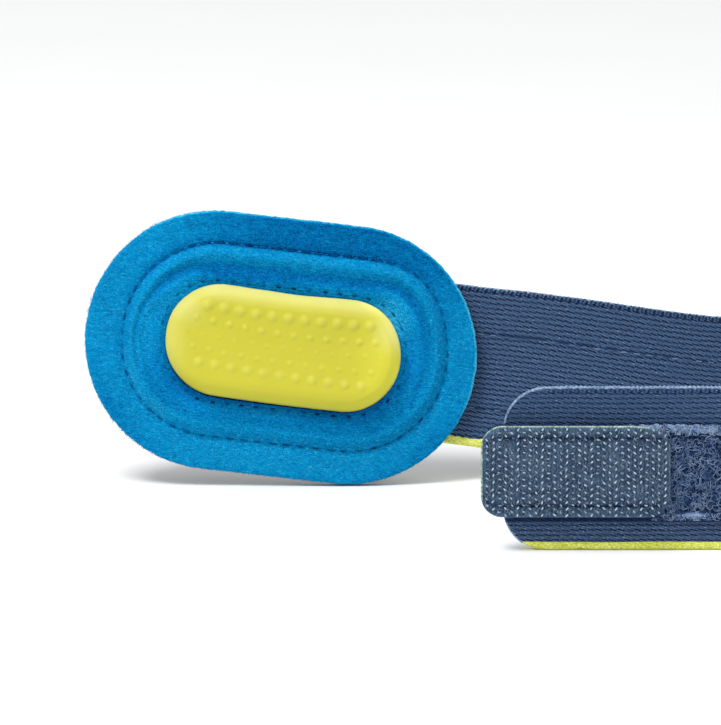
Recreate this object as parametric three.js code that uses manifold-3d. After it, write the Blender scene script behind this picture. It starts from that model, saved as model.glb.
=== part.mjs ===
// Elbow strap: an elastic strap in an open loop that stands on its lower edge. An oval pad
// with a nubbed pressure insert is sewn to the inner face of the far leg, and a hook tab on a
// loop tape lies on the outer face of the near leg.
// Millimetres and degrees. +Z is up, +X runs from the pad to the bend, +Y from the near leg
// to the far leg.

import * as THREE from "three";
import { mergeVertices } from "three/addons/utils/BufferGeometryUtils.js";
import Module from "manifold-3d";

const wasm = await Module();
wasm.setup();
const { Manifold, Mesh: ManifoldMesh } = wasm;

// Driving dimensions

const GAP = 0.3;

const STRAP = { width: 35, thickness: 2, limeWidth: 1.8, cornerRadius: 9, softening: 0.5 };

const LOOP = {
  depth: 75,
  farEnd: -14,
  bendStart: 104,
  nearEnd: 50,
  slope: 7.35,
  slopeEasing: 40,
  lean: 12,
};

const PAD = {
  halfLength: 43.3,
  halfHeight: 28.55,
  backThickness: 1.2,
  slope: 6.6,
  centreRise: 16.4,
};

const PELOTTE = { halfLength: 26, halfHeight: 12.1, nubPitch: 3.57, sideShift: 0.3, riseShift: -0.3 };

const TAPE = { low: 6.4, high: 27.2, thickness: 1.6, farEnd: -10, cornerRadius: 4 };

const TAB = { low: 7.6, high: 27.3, thickness: 1.8, length: 40.1, overhang: 4.8, cornerRadius: 4.6 };

const KEEPER = { side: -26, width: 12, footSpan: 40, passageSpan: 25, passageDepth: 6.4, thickness: 1.6 };

const ARC_STEPS = 16;
const BEND_STEPS = 22;
const CORNER_STEPS = 6;

// Relief of the sewn cover, from its back edge over the rim to the middle
const COVER_RELIEF = [
  { place: "back edge", inset: 0.3, height: 0 },
  { place: "rim side", inset: 0, height: 0.4 },
  { place: "rim side", inset: 0, height: 1.2 },
  { place: "rim front", inset: 0.5, height: 1.6 },
  { place: "rim front", inset: 6.2, height: 1.7 },
  { place: "outer seam", inset: 7.3, height: 1.2 },
  { place: "bead foot", inset: 8.3, height: 2.6 },
  { place: "bead crest", inset: 9.7, height: 3.7 },
  { place: "groove", inset: 11.8, height: 3.1 },
  { place: "swell", inset: 13.6, height: 3.3 },
  { place: "inner seam", inset: 15.3, height: 2.8 },
  { place: "seat", inset: 17, height: 2.9 },
];
const SEAT_HEIGHT = 2.9;

// Section of the moulded insert, from its back edge to its dished middle
const PELOTTE_RELIEF = [
  { place: "back edge", inset: 0.6, height: 0 },
  { place: "flank", inset: 0, height: 1 },
  { place: "flank", inset: 0.2, height: 2.6 },
  { place: "shoulder", inset: 0.9, height: 4 },
  { place: "shoulder", inset: 2, height: 4.9 },
  { place: "lip", inset: 3.4, height: 5.2 },
  { place: "dish", inset: 6, height: 5 },
  { place: "dish", inset: 10, height: 4.7 },
];

// Rows of nubs on the insert: height across it, sag at mid-length, number and size
const NUB_ROWS = [
  { across: 7.2, sag: 1.5, count: 11, radius: 1.15, height: 0.8 },
  { across: 4.2, sag: 1.5, count: 12, radius: 0.8, height: 0.55 },
  { across: 0.6, sag: 0.9, count: 13, radius: 0.5, height: 0.3 },
  { across: -2.3, sag: 1.1, count: 12, radius: 0.75, height: 0.5 },
  { across: -5.6, sag: 1.0, count: 11, radius: 1.1, height: 0.8 },
];

// Derived sizes

const radians = THREE.MathUtils.degToRad;
const bendRadius = LOOP.depth / 2;
const bendEnd = LOOP.bendStart + Math.PI * bendRadius;
const strapEnd = bendEnd + LOOP.bendStart - LOOP.nearEnd;
const tabEnd = strapEnd + TAB.overhang;
const strapFace = STRAP.thickness / 2;
const padBackFace = strapFace + GAP;
const coverFace = padBackFace + PAD.backThickness + GAP;
const slope = radians(LOOP.slope);
const lean = radians(LOOP.lean);
const padTurn = radians(LOOP.slope - PAD.slope);
const fall = Math.tan(slope);

// Height of the strap's lower edge at the pad that lets the pad's rim just reach the floor
const climb = { along: -Math.sin(slope), up: Math.cos(slope) * Math.cos(lean) };
const endClimb = climb.along * Math.cos(padTurn) + climb.up * Math.sin(padTurn);
const rimDrop = PAD.halfHeight * Math.hypot(climb.along, climb.up)
  + (PAD.halfLength - PAD.halfHeight) * Math.abs(endClimb);
const edgeAtPad = rimDrop - PAD.centreRise * climb.up
  - padBackFace * Math.sin(lean) * Math.cos(slope);
const cornerReach = strapFace - STRAP.softening;
const touchDown = (edgeAtPad - cornerReach * Math.sin(lean)) / fall;
const easeStart = touchDown - LOOP.slopeEasing / 2;
const easeEnd = touchDown + LOOP.slopeEasing / 2;

// The loop's surface

function edgeHeight(run) {
  if (run >= easeEnd) return 0;
  if (run <= easeStart) return (touchDown - run) * fall;
  return (fall / (2 * LOOP.slopeEasing)) * (easeEnd - run) ** 2;
}

function edgeFall(run) {
  return fall * THREE.MathUtils.clamp((easeEnd - run) / LOOP.slopeEasing, 0, 1);
}

// Axes of the strap at a run: along it, up its width and out of the loop, from its lower edge
function strapAxes(run) {
  const turned = THREE.MathUtils.clamp((run - LOOP.bendStart) / bendRadius, 0, Math.PI);
  const straight = run < LOOP.bendStart ? run - LOOP.bendStart : Math.min(bendEnd - run, 0);
  const tilt = lean * (1 - THREE.MathUtils.smoothstep(turned, 0, Math.PI * 0.9));
  const edge = new THREE.Vector3(
    LOOP.bendStart + straight + bendRadius * Math.sin(turned),
    bendRadius * (Math.cos(turned) - 1),
    edgeHeight(run) + cornerReach * Math.sin(tilt),
  );
  const along = new THREE.Vector3(Math.cos(turned), -Math.sin(turned), -edgeFall(run)).normalize();
  const level = new THREE.Vector3(Math.sin(turned), Math.cos(turned), 0);
  const upright = level.clone().cross(along).negate();
  const up = upright.clone().multiplyScalar(Math.cos(tilt)).addScaledVector(level, Math.sin(tilt));
  const out = level.clone().multiplyScalar(Math.cos(tilt)).addScaledVector(upright, -Math.sin(tilt));
  return { edge, along, up, out };
}

function strapPoint(run, rise, offset) {
  const { edge, up, out } = strapAxes(run);
  return edge.clone().addScaledVector(up, rise).addScaledVector(out, offset);
}

// Closed solid through equal rings of points, each ring seen counter-clockwise from the last
function ringSolid(rings) {
  const size = rings[0].length;
  const positions = rings.flat().flatMap((point) => [point.x, point.y, point.z]);
  const index = [];
  for (let ring = 0; ring + 1 < rings.length; ring += 1) {
    for (let i = 0; i < size; i += 1) {
      const a = ring * size + i;
      const b = ring * size + ((i + 1) % size);
      index.push(a, b, b + size, a, b + size, a + size);
    }
  }
  const last = (rings.length - 1) * size;
  const cap = THREE.ShapeUtils.triangulateShape(flatten(rings[0]), []);
  cap.forEach(([a, b, c]) => index.push(a, c, b));
  const lastCap = THREE.ShapeUtils.triangulateShape(flatten(rings[rings.length - 1]), []);
  lastCap.forEach(([a, b, c]) => index.push(last + a, last + b, last + c));
  const geometry = new THREE.BufferGeometry();
  geometry.setAttribute("position", new THREE.Float32BufferAttribute(positions, 3));
  geometry.setIndex(index);
  return geometry;
}

// A flat ring's points in its own plane, in the same turning sense
function flatten(ring) {
  const normal = new THREE.Vector3();
  ring.forEach((point, i) => normal.add(point.clone().cross(ring[(i + 1) % ring.length])));
  normal.normalize();
  const across = ring[1].clone().sub(ring[0]);
  across.addScaledVector(normal, -across.dot(normal)).normalize();
  const up = normal.clone().cross(across);
  return ring.map((point) => new THREE.Vector2(point.dot(across), point.dot(up)));
}

// How far a rounded corner cuts into the width, at a distance from the end
function cornerCut(distance, radius) {
  if (distance >= radius) return 0;
  return radius - Math.sqrt(radius ** 2 - (radius - distance) ** 2);
}

// Runs at which a band is sectioned: close together in rounded ends and in the bend
function bandRuns(from, to, startRadius, endRadius) {
  const runs = [from, to];
  for (let i = 1; i <= CORNER_STEPS; i += 1) {
    const reach = 1 - Math.cos((i / CORNER_STEPS) * Math.PI / 2);
    if (startRadius) runs.push(from + startRadius * reach);
    if (endRadius) runs.push(to - endRadius * reach);
  }
  for (let i = 0; i <= BEND_STEPS; i += 1) {
    runs.push(THREE.MathUtils.lerp(LOOP.bendStart, bendEnd, i / BEND_STEPS));
  }
  for (let i = 0; i <= 4; i += 1) runs.push(THREE.MathUtils.lerp(easeStart, LOOP.bendStart, i / 4));
  const inside = runs.filter((run) => run >= from && run <= to).sort((a, b) => a - b);
  return inside.filter((run, i) => i === 0 || run - inside[i - 1] > 0.05);
}

// Band that follows the loop: sides give its lower and upper rise at a run
function bandSolid({ runs, sides, inner, outer, softening }) {
  const rings = runs.map((run) => {
    const [low, high] = sides(run);
    const soft = Math.min(softening, (high - low) / 3);
    const section = [
      [low + soft, inner],
      [low, inner + soft],
      [low, outer - soft],
      [low + soft, outer],
      [high - soft, outer],
      [high, outer - soft],
      [high, inner + soft],
      [high - soft, inner],
    ];
    return section.map(([rise, offset]) => strapPoint(run, rise, offset));
  });
  return ringSolid(rings);
}

function strapGeometry() {
  const bottom = STRAP.limeWidth + GAP;
  return bandSolid({
    runs: bandRuns(LOOP.farEnd, strapEnd, 0, STRAP.cornerRadius),
    sides: (run) => {
      const cut = cornerCut(strapEnd - run, STRAP.cornerRadius);
      return [Math.max(bottom, cut), STRAP.width - cut];
    },
    inner: -strapFace,
    outer: strapFace,
    softening: STRAP.softening,
  });
}

function strapEdgeGeometry() {
  const tip = 0.4;
  const reach = STRAP.cornerRadius - (STRAP.limeWidth - tip);
  const shortBy = STRAP.cornerRadius - Math.sqrt(STRAP.cornerRadius ** 2 - reach ** 2);
  const end = strapEnd - shortBy;
  return bandSolid({
    runs: bandRuns(LOOP.farEnd, end, 0, STRAP.cornerRadius - shortBy),
    sides: (run) => [cornerCut(strapEnd - run, STRAP.cornerRadius), STRAP.limeWidth],
    inner: -strapFace,
    outer: strapFace,
    softening: STRAP.softening,
  });
}

function tapeGeometry() {
  const end = tabEnd - GAP;
  return bandSolid({
    runs: bandRuns(TAPE.farEnd, end, 0, TAPE.cornerRadius),
    sides: (run) => {
      const cut = cornerCut(end - run, TAPE.cornerRadius);
      return [TAPE.low + cut, TAPE.high - cut];
    },
    inner: strapFace + GAP,
    outer: strapFace + GAP + TAPE.thickness,
    softening: STRAP.softening,
  });
}

function tabGeometry() {
  const start = tabEnd - TAB.length;
  const inner = strapFace + TAPE.thickness + 2 * GAP;
  return bandSolid({
    runs: bandRuns(start, tabEnd, TAB.cornerRadius, TAB.cornerRadius),
    sides: (run) => {
      const cut = cornerCut(Math.min(run - start, tabEnd - run), TAB.cornerRadius);
      return [TAB.low + cut, TAB.high - cut];
    },
    inner,
    outer: inner + TAB.thickness,
    softening: STRAP.softening,
  });
}

// Oval pieces of the pad, flat on their back, with their front along +Z

function ovalRing(halfLength, halfHeight, inset, height) {
  const radius = halfHeight - inset;
  const halfSide = halfLength - halfHeight;
  const ring = [];
  for (const side of [1, -1]) {
    for (let i = 0; i <= ARC_STEPS; i += 1) {
      const angle = (side > 0 ? -Math.PI / 2 : Math.PI / 2) + (i / ARC_STEPS) * Math.PI;
      const x = side * halfSide + radius * Math.cos(angle);
      ring.push(new THREE.Vector3(x, radius * Math.sin(angle), height));
    }
  }
  return ring;
}

function ovalSolid(halfLength, halfHeight, relief) {
  return ringSolid(relief.map((row) => ovalRing(halfLength, halfHeight, row.inset, row.height)));
}

function reliefHeight(relief, inset) {
  const rows = relief.filter((row, i) => i > 0);
  const next = rows.findIndex((row) => row.inset >= inset && row.height > 1);
  if (next < 0) return rows[rows.length - 1].height;
  const low = rows[Math.max(next - 1, 0)];
  const high = rows[next];
  return THREE.MathUtils.mapLinear(inset, low.inset, high.inset, low.height, high.height);
}

function padBackGeometry() {
  return ovalSolid(PAD.halfLength, PAD.halfHeight, [
    { inset: 0, height: 0 },
    { inset: 0, height: PAD.backThickness },
  ]);
}

function toManifold(geometry) {
  return new Manifold(new ManifoldMesh({
    numProp: 3,
    vertProperties: geometry.attributes.position.array,
    triVerts: Uint32Array.from(geometry.index.array),
  }));
}

function toGeometry(solid) {
  const mesh = solid.getMesh();
  const geometry = new THREE.BufferGeometry();
  geometry.setAttribute("position", new THREE.BufferAttribute(mesh.vertProperties, 3));
  geometry.setIndex(new THREE.BufferAttribute(mesh.triVerts, 1));
  return geometry;
}

function nubGeometry({ radius, height }) {
  const ball = new THREE.SphereGeometry(1, 8, 4).rotateX(Math.PI / 2).scale(radius, radius, height);
  ball.deleteAttribute("normal");
  ball.deleteAttribute("uv");
  return mergeVertices(ball);
}

function pelotteGeometry() {
  const halfSide = PELOTTE.halfLength - PELOTTE.halfHeight;
  let solid = toManifold(ovalSolid(PELOTTE.halfLength, PELOTTE.halfHeight, PELOTTE_RELIEF));
  for (const row of NUB_ROWS) {
    for (let i = 0; i < row.count; i += 1) {
      const along = (i - (row.count - 1) / 2) * PELOTTE.nubPitch;
      const sag = row.sag * (1 - (2 * along / PELOTTE.halfLength / 1.5) ** 2);
      const across = row.across - Math.max(sag, 0);
      const outside = Math.max(Math.abs(along) - halfSide, 0);
      const inset = PELOTTE.halfHeight - Math.hypot(outside, across);
      const base = reliefHeight(PELOTTE_RELIEF, inset);
      const nub = nubGeometry(row).translate(along, across, base);
      solid = solid.add(toManifold(nub));
    }
  }
  return toGeometry(solid);
}

// Hidden webbing loop: a flat arch with two feet, run along the pad's length
function keeperGeometry() {
  const foot = KEEPER.footSpan / 2;
  const inner = KEEPER.passageSpan / 2;
  const { thickness, passageDepth } = KEEPER;
  const spread = 1.3;
  const outline = [
    [-foot, 0],
    [-inner - spread, 0],
    [-inner, passageDepth],
    [inner, passageDepth],
    [inner + spread, 0],
    [foot, 0],
    [foot, thickness],
    [inner + spread + thickness, thickness],
    [inner + thickness, passageDepth + thickness],
    [-inner - thickness, passageDepth + thickness],
    [-inner - spread - thickness, thickness],
    [-foot, thickness],
  ];
  const shape = new THREE.Shape(outline.map(([across, depth]) => new THREE.Vector2(depth, across)));
  return new THREE.ExtrudeGeometry(shape, { depth: KEEPER.width, bevelEnabled: false, curveSegments: 1 });
}

// Assembly

const COLOURS = {
  strap: { color: 0x33477a, roughness: 0.95 },
  strap_edge: { color: 0xd7de4b, roughness: 0.85 },
  pad_cover: { color: 0x0a82c3, roughness: 0.95 },
  pad_back: { color: 0x18264a, roughness: 0.9 },
  pelotte: { color: 0xdad650, roughness: 0.55 },
  loop_tape: { color: 0x465a8c, roughness: 0.95 },
  hook_tab: { color: 0x4b6482, roughness: 0.5 },
  keeper_loop: { color: 0x2b3a63, roughness: 0.9 },
};

function piece(name, geometry) {
  geometry.computeVertexNormals();
  const material = new THREE.MeshStandardMaterial({ ...COLOURS[name], metalness: 0 });
  const mesh = new THREE.Mesh(geometry, material);
  mesh.name = name;
  return mesh;
}

// The pad's group lies on the far leg's mid-plane, with +Z out of the pad's face
function padGroup() {
  const { along, up, out } = strapAxes(0);
  const group = new THREE.Group();
  group.name = "pad_group";
  group.setRotationFromMatrix(new THREE.Matrix4().makeBasis(along, up, out.clone().negate()));
  group.position.copy(strapPoint(0, PAD.centreRise, 0));

  const oval = new THREE.Group();
  oval.name = "oval_group";
  oval.rotation.z = padTurn;
  const back = piece("pad_back", padBackGeometry());
  back.position.z = padBackFace;
  const cover = piece("pad_cover", ovalSolid(PAD.halfLength, PAD.halfHeight, COVER_RELIEF));
  cover.position.z = coverFace;
  oval.add(back, cover);

  const pelotte = piece("pelotte", pelotteGeometry());
  pelotte.position.set(PELOTTE.sideShift, PELOTTE.riseShift, coverFace + SEAT_HEIGHT + GAP);

  const keeper = piece("keeper_loop", keeperGeometry());
  keeper.rotation.y = Math.PI / 2;
  keeper.position.set(KEEPER.side - KEEPER.width / 2, 0, padBackFace - GAP);

  group.add(oval, pelotte, keeper);
  return group;
}

function buildPart() {
  const loop = new THREE.Group();
  loop.name = "loop_group";
  loop.add(
    piece("strap", strapGeometry()),
    piece("strap_edge", strapEdgeGeometry()),
    piece("loop_tape", tapeGeometry()),
    piece("hook_tab", tabGeometry()),
    padGroup(),
  );
  loop.updateMatrixWorld(true);
  const box = new THREE.Box3().setFromObject(loop, true);
  const middle = box.getCenter(new THREE.Vector3());
  loop.position.set(-middle.x, -middle.y, -box.min.z);

  const part = new THREE.Group();
  part.name = "elbow_strap";
  part.add(loop);
  return part;
}

export default buildPart();
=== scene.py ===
import math

import bmesh
import bpy
import numpy as np
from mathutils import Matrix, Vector


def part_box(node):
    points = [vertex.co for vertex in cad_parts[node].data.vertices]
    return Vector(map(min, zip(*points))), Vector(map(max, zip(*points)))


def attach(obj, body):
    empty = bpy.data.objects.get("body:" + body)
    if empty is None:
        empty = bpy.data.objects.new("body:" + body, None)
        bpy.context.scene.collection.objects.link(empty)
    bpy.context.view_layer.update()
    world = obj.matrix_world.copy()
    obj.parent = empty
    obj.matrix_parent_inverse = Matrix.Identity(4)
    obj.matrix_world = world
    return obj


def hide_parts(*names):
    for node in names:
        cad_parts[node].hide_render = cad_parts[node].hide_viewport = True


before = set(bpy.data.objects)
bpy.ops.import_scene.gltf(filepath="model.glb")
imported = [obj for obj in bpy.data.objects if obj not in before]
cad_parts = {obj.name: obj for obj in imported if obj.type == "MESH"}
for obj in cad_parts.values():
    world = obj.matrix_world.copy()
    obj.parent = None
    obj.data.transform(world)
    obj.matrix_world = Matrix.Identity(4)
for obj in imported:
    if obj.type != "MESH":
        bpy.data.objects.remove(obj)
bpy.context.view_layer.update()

# Sizes shared with the solids, in millimetres and radians

MM = 0.001
GAP = 0.3

STRAP_WIDTH = 35.0
STRAP_FACE = 1.0
STRAP_CORNER = 9.0
LIME_WIDTH = 1.8

LOOP_DEPTH = 75.0
FAR_END = -14.0
BEND_START = 104.0
NEAR_END = 50.0
SLOPE = math.radians(7.35)
SLOPE_EASING = 40.0
LEAN = math.radians(12)
CORNER_REACH = 0.5

PAD_LENGTH = 43.3
PAD_HEIGHT = 28.55
PAD_BACK = 1.2
PAD_TURN = SLOPE - math.radians(6.6)
PAD_RISE = 16.4

PELOTTE_LENGTH = 26.0
PELOTTE_HEIGHT = 12.1
PELOTTE_SHIFT = (0.3, -0.3)
NUB_PITCH = 3.62

TAPE_LOW = 6.4
TAPE_HIGH = 27.2
TAPE_WIDTH = TAPE_HIGH - TAPE_LOW
TAPE_FAR_END = -10.0
TAPE_THICKNESS = 1.6
TAPE_CORNER = 4.0

TAB_LOW = 7.6
TAB_HIGH = 27.3
TAB_LENGTH = 40.1
TAB_OVERHANG = 4.8
TAB_CORNER = 4.6
TAB_THICKNESS = 1.8

KEEPER_SIDE = -26.0
KEEPER_WIDTH = 12.0
KEEPER_FOOT = 20.0
KEEPER_HALF = 12.5
KEEPER_DEPTH = 6.4

BEND_RADIUS = LOOP_DEPTH / 2
BEND_END = BEND_START + math.pi * BEND_RADIUS
STRAP_END = BEND_END + BEND_START - NEAR_END
TAB_END = STRAP_END + TAB_OVERHANG
TAB_START = TAB_END - TAB_LENGTH
BACK_FACE = STRAP_FACE + GAP
COVER_FACE = BACK_FACE + PAD_BACK + GAP
SEAT_HEIGHT = 2.9
TAPE_FACE = STRAP_FACE + GAP
TAB_FACE = STRAP_FACE + TAPE_THICKNESS + 2 * GAP

FALL = math.tan(SLOPE)
CLIMB_ALONG = -math.sin(SLOPE)
CLIMB_UP = math.cos(SLOPE) * math.cos(LEAN)
END_CLIMB = CLIMB_ALONG * math.cos(PAD_TURN) + CLIMB_UP * math.sin(PAD_TURN)
RIM_DROP = PAD_HEIGHT * math.hypot(CLIMB_ALONG, CLIMB_UP) + (PAD_LENGTH - PAD_HEIGHT) * abs(END_CLIMB)
EDGE_AT_PAD = RIM_DROP - PAD_RISE * CLIMB_UP - BACK_FACE * math.sin(LEAN) * math.cos(SLOPE)
TOUCH_DOWN = (EDGE_AT_PAD - CORNER_REACH * math.sin(LEAN)) / FALL
EASE_START = TOUCH_DOWN - SLOPE_EASING / 2
EASE_END = TOUCH_DOWN + SLOPE_EASING / 2

# The solids stand over the middle of their box, so their shift is read from one of them
TAB_CORNER_POINT = (NEAR_END - TAB_OVERHANG, -LOOP_DEPTH - TAB_FACE - TAB_THICKNESS, TAB_LOW)
SHIFT = np.array(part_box("hook_tab")[0]) / MM - np.array(TAB_CORNER_POINT)

# Seams, textile pitches and other sizes of the scene alone, in millimetres

FLOOR_GAP = 0.2
RIM_HEIGHT = 1.6
HIDDEN_END = 33.0
KNIT_ROW = 1.09
KNIT_STITCH = 1.72
KNIT_SLANT = 0.36
KNIT_FIBRE = (1.9, 4.2, 1.0)
HATCH_ROWS = 1.92
HOLE_PITCH = 1.85
HOLE_DEPTH = 0.9
OUTER_STITCH = 3.2
INNER_STITCH = 3.4
TAPE_SEAM = 2.2
TAPE_STITCH = 2.9
TAPE_SEAMS = (TAPE_LOW + TAPE_SEAM, TAPE_HIGH - TAPE_SEAM)
TAPE_RIM = 1.8
TAB_SEAM = 2.5
TAB_RIB = 0.85
HOOK_COLUMN = 1.3
HOOK_ROW = 1.42
HOOK_SHIFT = 0.7
BACK_WEAVE = 1.1
WEBBING_RIB = 1.5
WEBBING_WEAVE = 1.2
JOINT_STITCH = 2.6

# Values round the pad at these turns in degrees: the insets of its seams and groove from its
# outline, how light the thread in the needle holes is, how far the groove sinks, and how much
# painted shade lies in the outer seam's fold
TURNS = (0, 50, 90, 130, 180, 230, 270, 310, 360)
OUTER_SEAM = (6.45, 5.2, 6.95, 7.4, 7.95, 7.4, 7.2, 6.95, 6.45)
INNER_SEAM = (15.6, 15.0, 15.35, 15.4, 16.4, 15.9, 14.7, 14.9, 15.6)
GROOVE = (10.8, 9.85, 12.2, 11.7, 10.9, 10.6, 11.4, 10.7, 10.8)
OUTER_HOLES = (0.8, 0.6, 0.35, 0.45, 0.65, 0.42, 0.5, 0.5, 0.8)
INNER_HOLES = (0.7, 0.55, 0.4, 0.7, 1.0, 0.8, 0.25, 0.3, 0.7)
GROOVE_SINK = (0.15, 0.6, 0.3, 0.6, 0.2, -0.1, -0.2, -0.1, 0.15)
SEAM_SHADE = (0.0, 0.14, 0.42, 0.26, 0.06, 0.0, 0.02, 0.02, 0.0)
PLAIN_TONE = (0.5,) * len(TURNS)

# Values at angles round the insert's middle: how dark the painted shadow line beside it is, and
# how far painted shade and light change the nap's tone at a near and a far distance from it
INSERT_TURNS = (0, 21, 53, 90, 127, 159, 180, 201, 233, 270, 307, 339, 360)
INSERT_SHADOW_LINE = (0.0, 0.1, 0.4, 0.1, 0.05, 0.05, 0.3, 0.45, 0.85, 0.85, 0.55, 0.4, 0.0)
INSERT_NEAR_SHADE = (0.08, 0.09, 0.0, 0.0, 0.0, -0.05, -0.12, -0.1, -0.09, 0.0, -0.12, -0.18, 0.08)
INSERT_FAR_SHADE = (0.0, 0.04, 0.03, 0.0, -0.09, 0.0, -0.02, -0.08, 0.1, 0.07, 0.02, -0.02, 0.0)
NEAR_SHADE_DISTANCE = 0.7
FAR_SHADE_DISTANCE = 2.2

rng = np.random.default_rng(20)


# Numbers

def ease(value, low=0.0, high=1.0):
    """Runs smoothly from 0 at low to 1 at high."""
    t = np.clip((np.asarray(value, float) - low) / (high - low), 0, 1)
    return t * t * (3 - 2 * t)


def bell(value, middle, width):
    """Rises to 1 at the middle and falls off to both sides."""
    return np.exp(-((value - middle) / width) ** 2)


def wave(phase):
    """Runs between 1 at whole numbers and 0 halfway between them."""
    return 0.5 + 0.5 * np.cos(math.tau * phase)


def lattice(ix, iy, seed):
    """Repeatable numbers from 0 to 1 on whole-number places."""
    n = np.sin(ix * 127.1 + iy * 311.7 + seed * 74.7) * 43758.5453
    return n - np.floor(n)


def noise(x, y, seed=0):
    """Smooth noise from 0 to 1 with features about one unit wide."""
    ix = np.floor(x)
    iy = np.floor(y)
    fx = ease(x - ix)
    fy = ease(y - iy)
    low = lattice(ix, iy, seed) * (1 - fx) + lattice(ix + 1, iy, seed) * fx
    high = lattice(ix, iy + 1, seed) * (1 - fx) + lattice(ix + 1, iy + 1, seed) * fx
    return low * (1 - fy) + high * fy


def unit(vectors):
    return vectors / np.linalg.norm(vectors, axis=-1, keepdims=True)


def stacked(*parts):
    """Puts parts side by side in a last axis, as the parts of points are."""
    return np.stack(np.broadcast_arrays(*parts), -1)


def rotated(u, v, turn):
    cos, sin = np.cos(turn), np.sin(turn)
    return u * cos - v * sin, u * sin + v * cos


def strands(x, y, ahead, aside, heading):
    """Places along strands that lie about points, ahead of and aside from each strand's heading."""
    along, up = rotated(ahead, aside, heading[:, None])
    return x[:, None] + along, y[:, None] + up


# The loop's surface

def strap_axes(run):
    """Lower edge, and directions along, up and out of the strap, at runs along the loop."""
    run = np.asarray(run, float)
    turned = np.clip((run - BEND_START) / BEND_RADIUS, 0, math.pi)
    straight = np.where(run < BEND_START, run - BEND_START, np.minimum(BEND_END - run, 0))
    tilt = LEAN * (1 - ease(turned, 0, math.pi * 0.9))
    eased = FALL / (2 * SLOPE_EASING) * (EASE_END - run) ** 2
    height = np.where(run <= EASE_START, (TOUCH_DOWN - run) * FALL, np.where(run < EASE_END, eased, 0))
    fall = FALL * np.clip((EASE_END - run) / SLOPE_EASING, 0, 1)
    edge = stacked(
        BEND_START + straight + BEND_RADIUS * np.sin(turned),
        BEND_RADIUS * (np.cos(turned) - 1),
        height + CORNER_REACH * np.sin(tilt),
    )
    along = unit(stacked(np.cos(turned), -np.sin(turned), -fall))
    level = stacked(np.sin(turned), np.cos(turned), 0)
    upright = -np.cross(level, along)
    cos, sin = np.cos(tilt)[..., None], np.sin(tilt)[..., None]
    return edge, along, upright * cos + level * sin, level * cos - upright * sin


def strap_points(run, rise, offset):
    edge, _, up, out = strap_axes(run)
    rise = np.asarray(rise, float)[..., None]
    offset = np.asarray(offset, float)[..., None]
    return (edge + up * rise + out * offset + SHIFT) * MM


PAD_EDGE, PAD_ALONG, PAD_UP, PAD_OUT = strap_axes(0.0)
PAD_CENTRE = PAD_EDGE + PAD_UP * PAD_RISE


def pad_points(u, v, z, turn=0.0):
    """Points of the pad's own frame: along it, up it and out of its face."""
    u, v, z = np.broadcast_arrays(*(np.asarray(a, float) for a in (u, v, z)))
    x, y = rotated(u, v, turn)
    place = PAD_CENTRE + PAD_ALONG * x[..., None] + PAD_UP * y[..., None] - PAD_OUT * z[..., None]
    return (place + SHIFT) * MM


def corner_cut(distance, radius):
    reach = np.clip(radius - distance, 0, radius)
    return radius - np.sqrt(radius ** 2 - reach ** 2)


# Mesh helpers

def placed(name, data):
    """A new object in the scene."""
    made = bpy.data.objects.new(name, data)
    bpy.context.scene.collection.objects.link(made)
    return made


def new_piece(name, points, face_sets, material, slot, **attributes):
    """A piece from arrays of points and faces, with values at its points for its material."""
    mesh = bpy.data.meshes.new(name)
    points = np.asarray(points, np.float32).reshape(-1, 3)
    mesh.vertices.add(len(points))
    mesh.vertices.foreach_set("co", points.ravel())
    sizes = np.concatenate([np.full(len(f), f.shape[1]) for f in face_sets])
    corners = np.concatenate([f.ravel() for f in face_sets]).astype(np.int32)
    mesh.loops.add(len(corners))
    mesh.loops.foreach_set("vertex_index", corners)
    mesh.polygons.add(len(sizes))
    mesh.polygons.foreach_set("loop_start", (np.cumsum(sizes) - sizes).astype(np.int32))
    mesh.update(calc_edges=True)
    for key, values in attributes.items():
        kind, part = ("FLOAT_VECTOR", "vector") if key == "cloth" else ("FLOAT", "value")
        layer = mesh.attributes.new(key, kind, "POINT")
        layer.data.foreach_set(part, np.asarray(values, np.float32).ravel())
    work = bmesh.new()
    work.from_mesh(mesh)
    bmesh.ops.remove_doubles(work, verts=work.verts, dist=1e-7)
    bmesh.ops.recalc_face_normals(work, faces=work.faces)
    work.to_mesh(mesh)
    work.free()
    mesh.shade_smooth()
    mesh.materials.append(material)
    piece = placed(name, mesh)
    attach(piece, "root")
    return piece


def ring_faces(rings, size):
    """Quads between equal closed rings of points, laid out ring after ring."""
    ring, i = np.meshgrid(np.arange(rings - 1), np.arange(size), indexing="ij")
    a = ring * size + i
    b = ring * size + (i + 1) % size
    return np.stack([a, b, b + size, a + size], -1).reshape(-1, 4)


def loft(name, points, material, slot, **attributes):
    """Closed solid through rings of points of shape (rings, size, 3)."""
    rings, size = points.shape[:2]
    caps = np.stack([np.arange(size), np.arange(size) + (rings - 1) * size])
    return new_piece(name, points, [ring_faces(rings, size), caps], material, slot, **attributes)


def tubes(name, paths, radius, sides, reference, material, slot, crest):
    """Many tubes with closed ends along paths of shape (n, steps, 3), as one piece."""
    n, steps = paths.shape[:2]
    tangent = unit(np.gradient(paths, axis=1))
    side = unit(np.cross(tangent, np.asarray(reference)[..., None, :]))
    up = np.cross(side, tangent)
    radius = np.broadcast_to(radius, (n, steps))[..., None, None]
    angle = np.arange(sides) / sides * math.tau
    ring = side[:, :, None] * np.cos(angle)[:, None] + up[:, :, None] * np.sin(angle)[:, None]
    points = paths[:, :, None] + ring * radius
    starts = np.arange(n) * steps * sides
    quads = (ring_faces(steps, sides) + starts[:, None, None]).reshape(-1, 4)
    first = starts[:, None] + np.arange(sides)
    caps = np.concatenate([first, first + (steps - 1) * sides])
    crest = np.broadcast_to(np.reshape(crest, (n, -1)), (n, steps))
    return new_piece(name, points, [quads, caps], material, slot, crest=np.repeat(crest, sides))


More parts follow.
